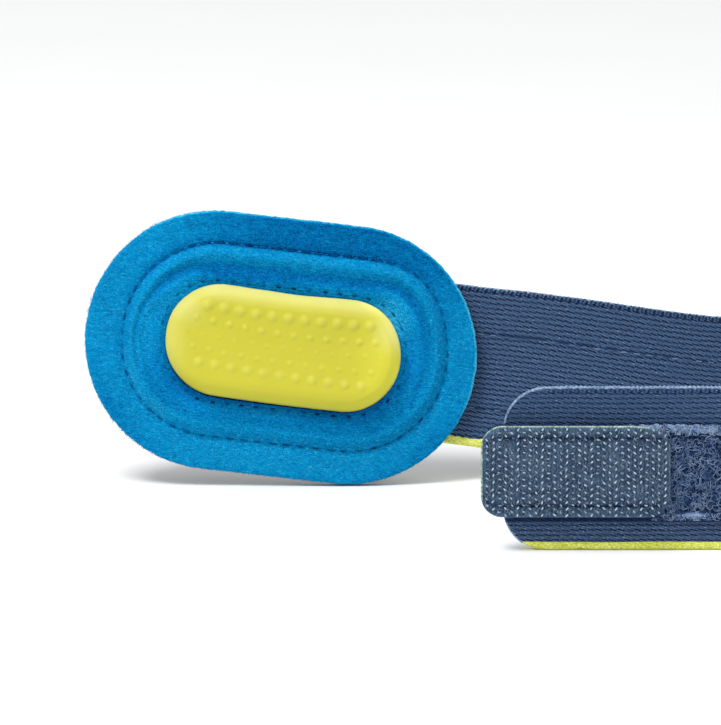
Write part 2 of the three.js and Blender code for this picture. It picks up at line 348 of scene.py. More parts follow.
def stitches(name, middle, along, out, length, radius, proud, material, tone=0.5):
    """Sewn threads that come up at one end, lie along the surface and go down at the other."""
    t = np.linspace(-1, 1, 7)
    ahead = t * length * MM / 2
    lift = (proud - 0.3 * t ** 4) * MM
    paths = middle[:, None] + along[:, None] * ahead[:, None] + out[:, None] * lift[:, None]
    thickness = radius * MM * (1 - 0.35 * t ** 6)
    tone = np.clip(tone + rng.uniform(-0.4, 0.4, len(paths)), 0, 1)
    tubes(name, paths, thickness, 6, out, material, "navy_webbing", tone)


# Materials

def new_material(name, **values):
    material = bpy.data.materials.new(name)
    material.use_nodes = True
    shader = material.node_tree.nodes["Principled BSDF"]
    for key, value in values.items():
        shader.inputs[key.replace("_", " ")].default_value = value
    return material, material.node_tree, shader


def node(tree, kind, inputs=None, **settings):
    made = tree.nodes.new(kind)
    for key, value in settings.items():
        setattr(made, key, value)
    for key, value in (inputs or {}).items():
        if isinstance(value, bpy.types.NodeSocket):
            tree.links.new(value, made.inputs[key])
        else:
            made.inputs[key].default_value = value
    return made


def attribute(tree, name, output="Fac"):
    return node(tree, "ShaderNodeAttribute", attribute_name=name).outputs[output]


def ramp(tree, factor, stops):
    made = node(tree, "ShaderNodeValToRGB", {"Fac": factor})
    elements = made.color_ramp.elements
    while len(elements) < len(stops):
        elements.new(0.5)
    for element, (place, colour) in zip(elements, stops):
        element.position = place
        element.color = (*colour, 1)
    return made.outputs["Color"]


def grain(tree, vector, scale, detail=3.0, roughness=0.6):
    inputs = {"Vector": vector, "Scale": scale, "Detail": detail, "Roughness": roughness}
    return node(tree, "ShaderNodeTexNoise", inputs).outputs["Fac"]


def stretched(tree, vector, scale, turn=0.0):
    inputs = {"Vector": vector, "Rotation": (0, 0, turn), "Scale": scale}
    return node(tree, "ShaderNodeMapping", inputs).outputs["Vector"]


def tinted(tree, colour, factor, low, high):
    """Multiplies a colour by noise whose usual range is mapped onto low to high."""
    inputs = {"Value": factor, "From Min": 0.3, "From Max": 0.7, "To Min": low, "To Max": high}
    scale = node(tree, "ShaderNodeMapRange", inputs).outputs["Result"]
    made = node(tree, "ShaderNodeVectorMath", {0: colour, "Scale": scale}, operation="SCALE")
    return made.outputs["Vector"]


class Field:
    """A shader value that takes part in plain arithmetic."""

    def __init__(self, tree, socket):
        self.tree = tree
        self.socket = socket

    def do(self, operation, other=0.0):
        other = other.socket if isinstance(other, Field) else other
        made = node(self.tree, "ShaderNodeMath", {0: self.socket, 1: other}, operation=operation)
        return Field(self.tree, made.outputs["Value"])

    def __add__(self, other):
        return self.do("ADD", other)

    def __sub__(self, other):
        return self.do("SUBTRACT", other)

    def __rsub__(self, other):
        return self * -1 + other

    def __mul__(self, other):
        return self.do("MULTIPLY", other)

    def __abs__(self):
        return self.do("ABSOLUTE")

    def eased(self, low, high):
        """Runs smoothly from 0 at low to 1 at high."""
        inputs = {"Value": self.socket, "From Min": low, "From Max": high}
        made = node(self.tree, "ShaderNodeMapRange", inputs, interpolation_type="SMOOTHSTEP")
        return Field(self.tree, made.outputs["Result"])


def field(tree, name):
    return Field(tree, attribute(tree, name))


def coated(tree, shader, colour, height, strength, distance):
    """Gives a shader its colour and a bump."""
    tree.links.new(colour, shader.inputs["Base Color"])
    inputs = {"Height": height, "Strength": strength, "Distance": distance}
    made = node(tree, "ShaderNodeBump", inputs)
    tree.links.new(made.outputs["Normal"], shader.inputs["Normal"])


def cloth_material(name, stops, fibre=(2.0, 5.0, 5.0), tone=(0.8, 1.2), bump=0.4, **values):
    """Cloth whose colour follows the crest value of its mesh, with yarn fibres along it."""
    material, tree, shader = new_material(name, **values)
    cloth = attribute(tree, "cloth", "Vector")
    fibres = grain(tree, stretched(tree, cloth, fibre), 1.0, 4.0, 0.7)
    blotch = grain(tree, cloth, 0.45, 2.0)
    colour = ramp(tree, attribute(tree, "crest"), stops)
    colour = tinted(tree, colour, fibres, *tone)
    colour = tinted(tree, colour, blotch, 0.94, 1.06)
    coated(tree, shader, colour, fibres, bump, 0.00015)
    return material


def knit_material():
    """Rows of slanted stitches with a faint hatch over them, and rows of holes along the edge."""
    material, tree, shader = new_material("navy_knit", Roughness=0.9, Specular_IOR_Level=0.2)
    cloth = attribute(tree, "cloth", "Vector")
    axes = node(tree, "ShaderNodeSeparateXYZ", {0: cloth})
    run = Field(tree, axes.outputs["X"])
    row = Field(tree, axes.outputs["Y"]) * (1 / KNIT_ROW)
    taut = field(tree, "taut")
    inside = 1 - field(tree, "rim")

    index = row.do("ROUND")
    stitch = run * (1 / KNIT_STITCH)
    along = stitch + index * HATCH_ROWS + 0.5
    cell = along.do("FLOOR")
    place = along - cell - 0.5
    key = node(tree, "ShaderNodeCombineXYZ", {0: cell.socket, 1: index.socket}).outputs[0]
    white = node(tree, "ShaderNodeTexWhiteNoise", {"Vector": key}, noise_dimensions="2D")
    chance = Field(tree, white.outputs["Value"])
    shifts = node(tree, "ShaderNodeSeparateXYZ", {0: white.outputs["Color"]})
    sideways = (Field(tree, shifts.outputs["X"]) - 0.5) * 0.26
    upward = (Field(tree, shifts.outputs["Y"]) - 0.5) * 0.12
    line = abs(row - index + place * KNIT_SLANT + upward)
    valley = abs(row - index).eased(0.45, 0.0)
    reach = abs(place + sideways) + taut * 0.05
    ends = reach.eased(0.05, 0.3) * 0.35 + 0.65
    dash = line.eased(0.22, 0.02) * reach.eased(0.56, 0.4) * ends * (chance * 0.7 + 0.4)
    # The valleys between rows are coloured a little darker: painted shade
    dash = (dash * (1.3 - taut * 0.15) + valley * 0.09) * inside
    hatch = ((row * HATCH_ROWS + stitch) * math.tau).do("COSINE") * 0.5 + 0.5
    hatch = hatch * (chance * 0.4 + 0.6) * inside

    depth = field(tree, "edge") - HOLE_DEPTH
    pitch = run * (1 / HOLE_PITCH)
    hole = abs(pitch.do("FRACT") - 0.5 + depth * 0.06)
    between = abs((pitch + 0.5).do("FRACT") - 0.5 + depth * 0.06)
    slot = hole.eased(0.18, 0.08) * abs(depth).eased(0.62, 0.4)
    nick = between.eased(0.15, 0.05) * abs(depth + 0.35).eased(0.62, 0.35)
    slot = (slot * 0.9 + nick * 0.5) * (1 - taut * 0.25)

    fibres = Field(tree, grain(tree, stretched(tree, cloth, KNIT_FIBRE), 1.0, 3.0, 0.7))
    slanted = stretched(tree, cloth, KNIT_FIBRE, 0.3)
    fleck = Field(tree, grain(tree, slanted, 1.0, 2.0)).eased(0.5, 0.7)
    light = field(tree, "crest") * (chance * 0.1 + 0.93) + fleck * (taut * 0.08 + 0.18)
    light = (light + 0.03) * (1 - hatch * 0.18) * (1 - dash * 0.9) * (1 - slot * 0.9)
    colour = ramp(tree, light.socket, [
        (0.0, (0.002, 0.008, 0.036)),
        (0.4, (0.011, 0.031, 0.085)),
        (0.75, (0.044, 0.085, 0.172)),
        (0.9, (0.095, 0.16, 0.285)),
        (1.0, (0.28, 0.38, 0.53)),
    ])
    colour = tinted(tree, colour, fibres.socket, 0.54, 1.46)
    coated(tree, shader, colour, (fibres * 0.5 - dash - slot - hatch * 0.5).socket, 0.6, 0.0002)
    return material


def thread_material(name, low, high, rough=0.9, gloss=0.1):
    stops = [(0.0, low), (1.0, high)]
    return cloth_material(name, stops, Roughness=rough, Specular_IOR_Level=gloss)


KNIT = knit_material()
LIME_KNIT = cloth_material(
    "lime_knit",
    [(0.0, (0.34, 0.38, 0.02)), (0.45, (0.62, 0.66, 0.09)), (1.0, (0.78, 0.82, 0.2))],
    fibre=(2.0, 3.2, 2.0), tone=(0.48, 1.5), Roughness=0.95,
)
BACKING = cloth_material(
    "dark_backing",
    [(0.0, (0.004, 0.008, 0.03)), (1.0, (0.014, 0.026, 0.08))],
    Roughness=0.95, Sheen_Weight=0.2,
)
PILE_BASE = cloth_material(
    "pile_base",
    [(0.0, (0.004, 0.016, 0.055)), (0.6, (0.03, 0.066, 0.165)), (1.0, (0.19, 0.27, 0.42))],
    fibre=(1.8, 1.8, 1.8), tone=(0.4, 1.6), bump=0.8, Roughness=0.95, Specular_IOR_Level=0.1,
)
PILE = cloth_material(
    "navy_pile",
    [(0.0, (0.006, 0.021, 0.075)), (0.5, (0.07, 0.135, 0.28)), (1.0, (0.35, 0.47, 0.66))],
    Roughness=0.9, Specular_IOR_Level=0.2,
)
HOOK_BASE = cloth_material(
    "hook_base",
    [(0.0, (0.004, 0.014, 0.042)), (0.5, (0.032, 0.07, 0.135)), (0.8, (0.08, 0.14, 0.22)),
     (1.0, (0.33, 0.45, 0.34))],
    fibre=(2.1, 1.6, 2.0), tone=(0.05, 1.72), bump=0.8, Roughness=0.7, Specular_IOR_Level=0.3,
)
HOOKS = cloth_material(
    "hook_nylon",
    [(0.0, (0.04, 0.08, 0.14)), (0.5, (0.15, 0.23, 0.33)), (1.0, (0.46, 0.57, 0.71))],
    tone=(0.95, 1.05), bump=0.05, Roughness=0.6,
)
WEBBING = cloth_material(
    "navy_webbing",
    [(0.0, (0.008, 0.016, 0.05)), (1.0, (0.03, 0.052, 0.14))],
    Roughness=0.9, Sheen_Weight=0.2,
)
THREAD = thread_material("blue_thread", (0.0, 0.11, 0.31), (0.01, 0.27, 0.52), 0.95, 0.05)
# Thread sunk in the needle holes: darker than the thread between holes, partly for the painted shade in the
# holes
DEEP_THREAD = thread_material("deep_thread", (0.0, 0.025, 0.11), (0.0, 0.16, 0.4), 0.95, 0.05)
NAVY_THREAD = thread_material("navy_thread", (0.02, 0.045, 0.12), (0.07, 0.13, 0.26))
PALE_THREAD = thread_material("pale_thread", (0.05, 0.09, 0.17), (0.16, 0.24, 0.38))
# Near-black thread for the tab's seams, darkened for the painted shade in the channels they sew
SHADED_THREAD = thread_material("shaded_thread", (0.003, 0.01, 0.035), (0.012, 0.03, 0.075))


def suede_material():
    material, tree, shader = new_material(
        "blue_suede", Roughness=0.95, Sheen_Weight=0.04, Sheen_Roughness=0.4,
        Sheen_Tint=(0.1, 0.6, 1, 1), Specular_IOR_Level=0.04,
    )
    cloth = attribute(tree, "cloth", "Vector")
    naps = []
    for turn in (0.7, -0.9):
        strokes = stretched(tree, cloth, (0.95, 2.4, 1.5), turn)
        naps.append(Field(tree, grain(tree, strokes, 1.0, 6.0, 0.75)))
    nap = (naps[0] + naps[1]) * 0.7 - 0.2
    blotch = grain(tree, stretched(tree, cloth, (0.14, 0.2, 0.2)), 1.0, 3.0)
    fine = Field(tree, grain(tree, stretched(tree, cloth, (3.0, 4.5, 3.0)), 1.0, 3.0, 0.7))
    light = field(tree, "crest") + (nap - 0.5) * 1.2 + (fine - 0.5) * 1.2
    colour = ramp(tree, light.socket, [
        (0.0, (0.0, 0.004, 0.02)),
        (0.1, (0.0, 0.035, 0.15)),
        (0.35, (0.0, 0.132, 0.365)),
        (0.55, (0.001, 0.215, 0.475)),
        (0.78, (0.005, 0.335, 0.62)),
        (1.0, (0.12, 0.56, 0.8)),
    ])
    colour = tinted(tree, colour, blotch, 0.95, 1.05)
    # Bluer where the cool value is high, offsetting the insert's yellow bounce light on the suede
    cooled = node(tree, "ShaderNodeMix", data_type="RGBA", blend_type="MULTIPLY")
    tree.links.new(attribute(tree, "cool"), cooled.inputs["Factor"])
    tree.links.new(colour, cooled.inputs[6])
    cooled.inputs[7].default_value = (0.95, 1.0, 1.25, 1)
    coated(tree, shader, cooled.outputs[2], (nap + fine * 0.6).socket, 0.7, 0.0003)
    return material


def silicone_material():
    material, tree, shader = new_material(
        "lime_silicone", Roughness=0.48, Specular_IOR_Level=0.12,
        Subsurface_Weight=0.45, Subsurface_Scale=0.0018, Subsurface_Radius=(1.0, 0.95, 0.3),
    )
    cloth = attribute(tree, "cloth", "Vector")
    cloud = grain(tree, cloth, 0.12, 2.0)
    skin = grain(tree, cloth, 3.0, 3.0)
    colour = ramp(tree, attribute(tree, "crest"), [
        (0.0, (0.52, 0.5, 0.0)),
        (0.5, (0.565, 0.53, 0.05)),
        (1.0, (0.67, 0.655, 0.25)),
    ])
    colour = tinted(tree, colour, cloud, 0.98, 1.02)
    # The colour is scaled by the mesh's painted light values
    inputs = {0: colour, "Scale": attribute(tree, "gain")}
    colour = node(tree, "ShaderNodeVectorMath", inputs, operation="SCALE").outputs["Vector"]
    coated(tree, shader, colour, skin, 0.06, 0.0002)
    return material


SUEDE = suede_material()
SILICONE = silicone_material()


# Elastic strap

def band_runs(start, end, step, end_radius, tip=1.2):
    """Runs along a band, closer together at the tip of its rounded end."""
    turn = np.linspace(math.acos(1 - tip / end_radius), 0, 9)
    return np.concatenate([np.arange(start, end - tip, step), end - end_radius * (1 - np.cos(turn))])


def build_strap():
    hidden = np.arange(FAR_END, HIDDEN_END, 1.2)
    far = np.arange(HIDDEN_END, BEND_START, 0.3)
    bend = np.arange(BEND_START, BEND_END, 0.6)
    runs = np.concatenate([hidden, far, bend, band_runs(BEND_END, STRAP_END, 0.3, STRAP_CORNER)])
    selvedge = STRAP_WIDTH - np.array([1.8, 1.4, 1.0, 0.7, 0.4, 0.15])
    inner = np.concatenate([np.arange(LIME_WIDTH - 0.25, STRAP_WIDTH - 2, KNIT_ROW / 3), selvedge])
    beside_tape = inner[inner < TAPE_LOW + 1.2], inner[inner > TAPE_HIGH - 0.6]
    outer = np.concatenate([beside_tape[0], [12.0, 22.0], beside_tape[1]])[::-1]
    rise = np.concatenate([inner, [STRAP_WIDTH, STRAP_WIDTH], outer])
    side = np.concatenate([-np.ones(len(inner)), [-0.4, 0.4], np.ones(len(outer))])
    low, high = rise.min(), STRAP_WIDTH
    cut = corner_cut(STRAP_END - runs, STRAP_CORNER)[:, None]
    bottom = np.maximum(low, cut)
    rise = bottom + (rise[None] - low) / (high - low) * (high - cut - bottom)
    run = np.broadcast_to(runs[:, None], rise.shape)
    side = np.broadcast_to(side, rise.shape)

    ahead = run - (STRAP_END - STRAP_CORNER)
    above = rise - (STRAP_WIDTH - STRAP_CORNER)
    below = STRAP_CORNER - rise
    rounded = STRAP_CORNER - np.hypot(np.maximum(ahead, 0), np.maximum(np.maximum(above, below), 0))
    edge = np.where(ahead > 0, np.minimum(rounded, STRAP_END - run), 99)
    edge = np.minimum(edge, STRAP_WIDTH - rise)
    x = -np.sign(side) * run + 0.8 * (noise(run / 6, rise / 3, 3) - 0.5)
    y = rise + 0.35 * (noise(run / 14, rise / 5, 4) - 0.5) + 0.16 * (noise(run / 3, rise / 2, 5) - 0.5)
    height = 1 - wave(y / KNIT_ROW)
    at_end = ease(ahead, -3, 2)
    band = 1 - ease(edge, 1.3, 1.7)
    height = height * (1 - band) + 0.8 * band
    phase = x / HOLE_PITCH
    away = np.abs(phase - np.floor(phase) - 0.5)
    pit = bell(away, 0, 0.15) * bell(edge, HOLE_DEPTH, 0.4) * (1 - at_end)
    rim = 1 - ease(edge, 0.2, 0.5)
    tooth = 1 - 2 * np.abs(2 * phase - np.floor(2 * phase) - 0.5)
    bead = rim * ease(tooth, 0.05, 0.75) * (1 - at_end)
    offset = side * (0.92 + 0.08 * height + 0.08 * rim + 0.14 * bead - 0.25 * pit)
    stretch = 0.25 + 0.42 * bell(run, 60, 19)
    stretch = stretch * ease(rise / STRAP_WIDTH, 0.1, 1) * (1 - ease(run, 95, 140))
    lift = stretch + 0.2 * bead * (edge < 0.3) + 0.12 * (noise(run / 2.2, 0, 6) - 0.5) * rim
    points = strap_points(run, rise + lift, offset)
    near = ease(run, BEND_END, BEND_END + 20)
    loops = ease(tooth, 0.1, 0.75)
    # Painted highlight along the strap's top edge and, a little, on the crests of its rows; the near leg's
    # face is also coloured darker towards its top
    crest = 0.75 + 0.04 * height + 0.27 * rim * (0.2 + 0.8 * loops) * (1 - near)
    crest += (0.25 * rim * (0.7 + 0.3 * loops) + 0.02 - 0.1 * ease(rise, 6, 28)) * near
    # Painted shade in the creases that the tape's seams pull into the strap's inner face
    for seam in TAPE_SEAMS:
        crease = bell(rise, seam + 0.25 * (noise(run / 2, 0, 8) - 0.5), 0.3) * (side < 0)
        crest -= 0.4 * crease * ease(noise(run / 1.3, 0, 7), 0.4, 0.7)
    # Painted shadow on the near leg just under the tape's lower edge
    crest -= 0.55 * bell(rise, TAPE_LOW + 0.1, 0.4) * (side > 0) * near
    cloth = stacked(x, y, 3 * side)
    edge = np.where(at_end > 0.5, 9, HOLE_DEPTH + (edge - HOLE_DEPTH) * (1 + 0.4 * near))
    crest = np.clip(crest, 0, 1)
    looks = {"crest": crest, "cloth": cloth, "edge": edge, "rim": rim, "taut": near}
    piece = loft("knit_strap", points, KNIT, "navy_knit", **looks)
    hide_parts("strap")
    return piece


def build_lime_edge():
    short = STRAP_CORNER - math.sqrt(STRAP_CORNER ** 2 - (STRAP_CORNER - LIME_WIDTH + 0.4) ** 2)
    end = STRAP_END - short
    runs = np.append(np.arange(FAR_END, end, KNIT_STITCH / 4), end)
    turn = np.linspace(0, 1, 9)
    heel = stacked(0.42 * (1 - np.sin(turn * math.pi) ** 0.6), -np.cos(turn * math.pi))
    sides = np.array([[1.0, -1], [0.8, -1], [0.6, -1]])
    section = np.concatenate([sides, heel, sides[::-1] * [1, -1]])
    low = corner_cut(STRAP_END - runs, STRAP_CORNER)[:, None]
    run = np.broadcast_to(runs[:, None], (len(runs), len(section)))
    tooth = np.abs(np.mod(run / KNIT_STITCH, 1) - 0.5) * 2
    far = 1 - ease(run, BEND_END - 20, BEND_END)
    ragged = far * (0.4 * (tooth - 0.5) + noise(run / 2.6, 0, 9) - 0.5)
    top = LIME_WIDTH + 0.1 + 0.65 * ragged + (1 - far) * (0.4 * noise(run / 11, 0, 10) - 0.4)
    rise = low + section[:, 0] * np.maximum(top - low, 0.3)
    loops = 0.6 * noise(run / 0.9, rise / 0.7 + 20 * section[:, 1], 11) + 0.4 * noise(run / 2.3, rise, 12)
    offset = section[:, 1] * (1.09 + 0.16 * (loops - 0.5))
    rise = rise + 0.06 * (noise(run / 2.1, 0, 13) - 0.5) * (section[:, 0] < 0.3)
    rise = np.maximum(rise, low)
    crest = np.clip(0.35 + 0.75 * (loops - 0.25) + 0.15 * section[:, 0], 0, 1)
    cloth = stacked(run, rise, 3 * section[:, 1])
    points = strap_points(run, rise, offset)
    piece = loft("lime_edge", points, LIME_KNIT, "lime_knit", crest=crest, cloth=cloth)
    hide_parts("strap_edge")
    return piece


# Oval pad

def oval(half_length, half_height, count):
    """Places and outward directions round an oval, evenly spaced along its outline."""
    half_side = half_length - half_height
    arc = math.pi * half_height
    straight = max(int(round(count * half_side / (arc + 2 * half_side))), 1)
    curve = count // 2 - straight
    upright = math.pi / 2
    angle = np.linspace(-upright, upright, curve, endpoint=False)
    line = np.linspace(half_side, -half_side, straight, endpoint=False)
    centre = np.concatenate([np.full(curve, half_side), line, np.full(curve, -half_side), -line])
    level = np.full(straight, upright)
    turn = np.concatenate([angle, level, angle + math.pi, -level])
    return centre, np.cos(turn), np.sin(turn)


def rounded_profile(table, insets, soften):
    """Heights at insets from a short table, with its corners softened."""
    fine = np.arange(-4, 32, 0.05)
    heights = np.interp(fine, *zip(*table))
    reach = np.arange(-3, 3.001, 0.05 / soften)
    weight = np.exp(-reach ** 2)
    soft = np.convolve(np.pad(heights, len(reach) // 2, mode="edge"), weight / weight.sum(), mode="valid")
    return np.interp(insets, fine, soft[: len(fine)])


SWELL_DEPTH = 1.8
GROOVE_DEPTH = 4.3
COVER_RELIEF = [
    # distance inside the outer seam, height
    (-4.0, 1.65),
    (-1.6, 1.68),
    (0.0, 1.32),
    (0.9, 2.4),
    (2.2, 3.5),
    (4.3, 2.95),
    (6.0, 3.2),
    (8.2, 2.7),
    (28.0, 2.7),
]


def by_turn(values, turn, turns=TURNS):
    """A value round the pad, eased between those held at some turns."""
    values = np.array(values, float)
    turns = np.array(turns, float)
    left = np.clip(np.searchsorted(turns, turn, side="right") - 1, 0, len(turns) - 2)
    part = ease((turn - turns[left]) / (turns[left + 1] - turns[left]))
    return values[left] + (values[left + 1] - values[left]) * part


def turn_of(x, y):
    """Turn of a direction in degrees, from 0 to 360."""
    return np.degrees(np.arctan2(y, x)) % 360


def facing(turn):
    """Parts along and up of directions at turns in degrees."""
    return np.cos(np.radians(turn)), np.sin(np.radians(turn))


def round_oval(u, v, half_length, half_height):
    """Distance of places inside an oval, and their turn round it in degrees."""
    reach = np.sign(u) * np.maximum(np.abs(u) - (half_length - half_height), 0)
    return half_height - np.hypot(reach, v), turn_of(reach, v)


def round_pad(u, v):
    return round_oval(u, v, PAD_LENGTH, PAD_HEIGHT)


def cover_relief(inset, turn):
    """Height of the pad's quilted face, and places across it as in the relief's table."""
    seam = by_turn(OUTER_SEAM, turn)
    depth = inset - seam
    squeeze = (GROOVE_DEPTH - SWELL_DEPTH) / (by_turn(GROOVE, turn) - seam - SWELL_DEPTH)
    across = np.minimum(depth, SWELL_DEPTH) + np.maximum(depth - SWELL_DEPTH, 0) * squeeze
    groove = bell(across, GROOVE_DEPTH, 1.2)
    height = rounded_profile(COVER_RELIEF, across, 0.4) - groove * by_turn(GROOVE_SINK, turn)
    return height, across, groove


def seam_marks(table, pitch):
    """Place and turn of each needle hole along a seam, and of each thread between two holes."""
    centre, nx, ny = oval(PAD_LENGTH, PAD_HEIGHT, 2400)
    turn = np.unwrap(np.arctan2(ny, nx))
    radius = PAD_HEIGHT - by_turn(table, np.degrees(turn) % 360)
    path = stacked(centre + radius * nx, radius * ny)
    closed = np.concatenate([path, path[:1]])
    length = np.concatenate([[0], np.cumsum(np.linalg.norm(np.diff(closed, axis=0), axis=1))])
    count = int(round(length[-1] / pitch))
    holes = (np.arange(count) + 0.5) * length[-1] / count + rng.normal(0, 0.15, count)
    threads = (holes[1:] + holes[:-1]) / 2
    marks = []
    for places in (holes, threads):
        x = np.interp(places, length, closed[:, 0])
        y = np.interp(places, length, closed[:, 1])
        marks.append((x, y, np.interp(places, length[:-1], turn)))
    return marks


def pelotte_growth(u, nx, ny):
    """How far the insert's outline stands out along and up the pad, for its waist, belly and ends."""
    waist = 0.35 - 0.18 * ease(-u, 3, 9) - 0.55 * bell(u, 1, 9)
    belly = -0.35 * np.clip(1 - (u / 20) ** 2, 0, 1)
    angle = np.degrees(np.arctan2(ny, nx))
    grow = 0.22 + 0.2 * bell(angle, 50, 25) - 0.22 * ease(-nx - ny, 0.4, 1.1)
    return grow * nx, np.where(ny > 0, waist * ny, belly) + grow * ny


def beside_pelotte(u, v):
    """Distance of places on the pad outside the insert's outline, and their angle round its middle."""
    x, y = rotated(u, v, PAD_TURN)
    x = x - PELOTTE_SHIFT[0]
    y = y - PELOTTE_SHIFT[1]
    inside, turn = round_oval(x, y, PELOTTE_LENGTH, PELOTTE_HEIGHT)
    nx, ny = facing(turn)
    along, up = pelotte_growth(x + inside * nx, nx, ny)
    return -inside - along * nx - up * ny, turn_of(x, y)


def cover_shade(u, v):
    """Painted shade and light at places on the pad's face, for its relief, seams and the insert, partly
    also the nap's own lie; and how cool its colour is there.
    """
    inset, turn = round_pad(u, v)
    nx, ny = facing(turn)
    across, groove = cover_relief(inset, turn)[1:]
    depth = inset - by_turn(OUTER_SEAM, turn)
    inner = inset - by_turn(INNER_SEAM, turn)
    lower = ease(-ny, 0.1, 0.6)
    upper_right = ease(nx, 0.2, 0.6) * ease(ny, 0.2, 0.7)
    upper_left = ease(-nx, 0.2, 0.5) * ease(ny, 0.4, 0.7)
    lower_left = ease(-nx, 0.3, 0.6) * lower
    on_rim = 1 - ease(depth, -1.5, 0.5)
    flat_top = ease(across, 3.2, 4.6) * (1 - 0.45 * ease(across, 5.4, 6.4))

    # Rim: painted shade along the top and the lower corners and on the slope into the seam, lighter at the
    # bottom
    shade = 0.56 - 0.23 * on_rim * ease(v, 10, 26) * ease(u, -32, 0)
    shade += 0.04 * ease(-v, 14, 26)
    shade -= (0.02 + 0.13 * np.abs(nx)) * ease(-ny, 0.2, 0.7) * (1 - ease(inset, 0.8, 4.8))
    shade -= 0.05 * bell(depth, -0.9, 0.9) * ease(ny, 0.2, 0.8)
    # Ring and groove: painted highlight on the swell, painted shade in the groove and on the flat top,
    # lighter towards the insert on the upper right and left
    shade += 0.02 * bell(depth, 2.0, 1.2)
    shade -= 0.28 * groove * np.maximum(by_turn(GROOVE_SINK, turn), 0)
    shade -= 0.13 * flat_top * ease(ny, 0.85, 1.0)
    shade += (0.1 * ease(across, 4.7, 6.0) + 0.06 * ease(inner, -1.5, 0.3)) * upper_right
    shade += 0.05 * ease(across, 5.0, 6.5) * upper_left
    # Ends and lower half: lighter at the left end and on the lower left swell, painted shade at the right
    # end and over the lower half inside the swell
    shade += 0.03 * ease(depth, 1.5, 3.0) * ease(-nx, 0.6, 0.95)
    shade -= 0.05 * ease(depth, 2.5, 3.5) * ease(nx - np.abs(ny), 0.2, 0.7)
    shade -= 0.02 * ease(inner, -6.5, -1.5) * ease(-ny, 0.0, 0.8)
    shade -= 0.03 * ease(depth, 0.0, 1.0) * ease(-ny, 0.2, 0.9) * ease(nx, -0.6, 0.0)
    shade -= 0.06 * bell(depth, 4.0, 1.3) * lower
    shade += 0.09 * bell(depth, 1.0, 0.9) * lower_left
    shade -= 0.06 * ease(depth, 2.4, 3.4) * lower_left
    # Painted shade in the fold of the outer seam, and painted shade and light beside the insert
    shade -= bell(depth, 0, 0.42) * by_turn(SEAM_SHADE, turn)
    away, angle = beside_pelotte(u, v)
    shade += bell(away, NEAR_SHADE_DISTANCE, 0.55) * by_turn(INSERT_NEAR_SHADE, angle, INSERT_TURNS)
    shade += bell(away, FAR_SHADE_DISTANCE, 1.1) * by_turn(INSERT_FAR_SHADE, angle, INSERT_TURNS)
    # Colour shifted to blue inside the ring, and most beside the insert's lower side, to offset the
    # insert's yellow bounce light there
    cool = 0.25 * ease(depth, 2.5, 6)
    cool = cool + 0.75 * ease(-away, -5, -0.5) * ease(0.6 * nx - ny, 0.0, 0.8)
    return shade, cool


def build_pad_cover(seams):
    count = 660
    centre, nx, ny = oval(PAD_LENGTH, PAD_HEIGHT, count)
    turn = turn_of(nx, ny)
    edge_inset = np.array([0.9, 0.35, 0.06, 0.0, 0.06, 0.28])
    edge_height = np.array([0.0, 0.0, 0.25, 0.8, 1.3, 1.55])
    insets = np.concatenate([np.arange(0.6, 4.5, 0.3), np.arange(4.5, 17.6, 0.19), [19, 21, 24]])
    inset = np.concatenate([edge_inset, insets])[:, None]
    proud = 0.2 - 0.15 * ease(-ny, 0.5, 0.9)
    radius = PAD_HEIGHT - inset + proud * np.clip(1 - inset / 6, 0, 1)
    u = centre + radius * nx
    v = radius * ny + 0 * u
    front = (np.arange(len(inset)) >= len(edge_inset))[:, None]
    height = cover_relief(inset + 0 * u, turn + 0 * u)[0]
    height[: len(edge_inset)] = edge_height[:, None]

    dark = np.zeros_like(height)
    looks = (
        # inset, tone of the thread, width and length of a hole, how far a light thread fills it
        (OUTER_SEAM, OUTER_HOLES, 0.36, 1.0, 0.4),
        (INNER_SEAM, INNER_HOLES, 0.4, 0.55, 0.85),
    )
    for (holes, _), (table, tones, wide, long, fill) in zip(seams, looks):
        near = np.abs(inset - by_turn(table, turn)) < 2.0
        for x, y, angle in zip(*holes):
            away = np.hypot(u[near] - x, v[near] - y)
            along = (u[near] - x) * -math.sin(angle) + (v[near] - y) * math.cos(angle)
            aside = np.sqrt(np.maximum(away ** 2 - along ** 2, 0))
            open_part = 1 - fill * by_turn(tones, math.degrees(angle) % 360)
            held = bell(aside, 0, wide) * bell(along, 0, long) * open_part
            height[near] -= 0.3 * held
            dark[near] = np.maximum(dark[near], held)
    slant = (u + v) * 0.7
    steep = (v - u) * 0.7
    nap = 0.3 * (noise(slant / 0.9, steep / 0.45, 21) + noise(steep / 0.9, slant / 0.45, 25))
    nap = nap + 0.4 * noise(u / 0.4, v / 0.3, 22) - 0.5
    puff = noise(u / 5, v / 5, 23) - 0.5
    height = height + front * (0.16 * nap + 0.12 * puff * (1 - dark))
    away, angle = beside_pelotte(u, v)
    height = np.where(away < -0.4, np.minimum(height, SEAT_HEIGHT - 0.1), height)
    shade, cool = cover_shade(u, v)
    # Painted shadow line along the insert's outline
    contact_shadow = bell(np.maximum(away, 0), 0, 0.26) * by_turn(INSERT_SHADOW_LINE, angle, INSERT_TURNS)
    # Painted highlight along the cut edge, strongest along the top and right
    rim = np.clip(1.6 - inset / 0.3, 0, 1) * (0.1 + 0.9 * ease(ny + 0.9 * nx, 0.0, 0.9))
    # The needle-hole dents are coloured darker as well: painted shade
    crest = np.clip(np.maximum(shade - 0.1 * dark + 0.5 * rim, 0.1) - 0.9 * contact_shadow, -0.3, 1)
    ragged = 0.2 * (noise(np.arange(count) / 2.2, 0, 24) - 0.5) * np.exp(-inset / 0.8)
    u = u + ragged * nx
    v = v + ragged * ny
    cloth = stacked(u, v, height)
    points = pad_points(u, v, COVER_FACE + height, PAD_TURN)
    piece = loft("suede_pad", points, SUEDE, "blue_suede", crest=crest, cool=cool, cloth=cloth)
    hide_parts("pad_cover")


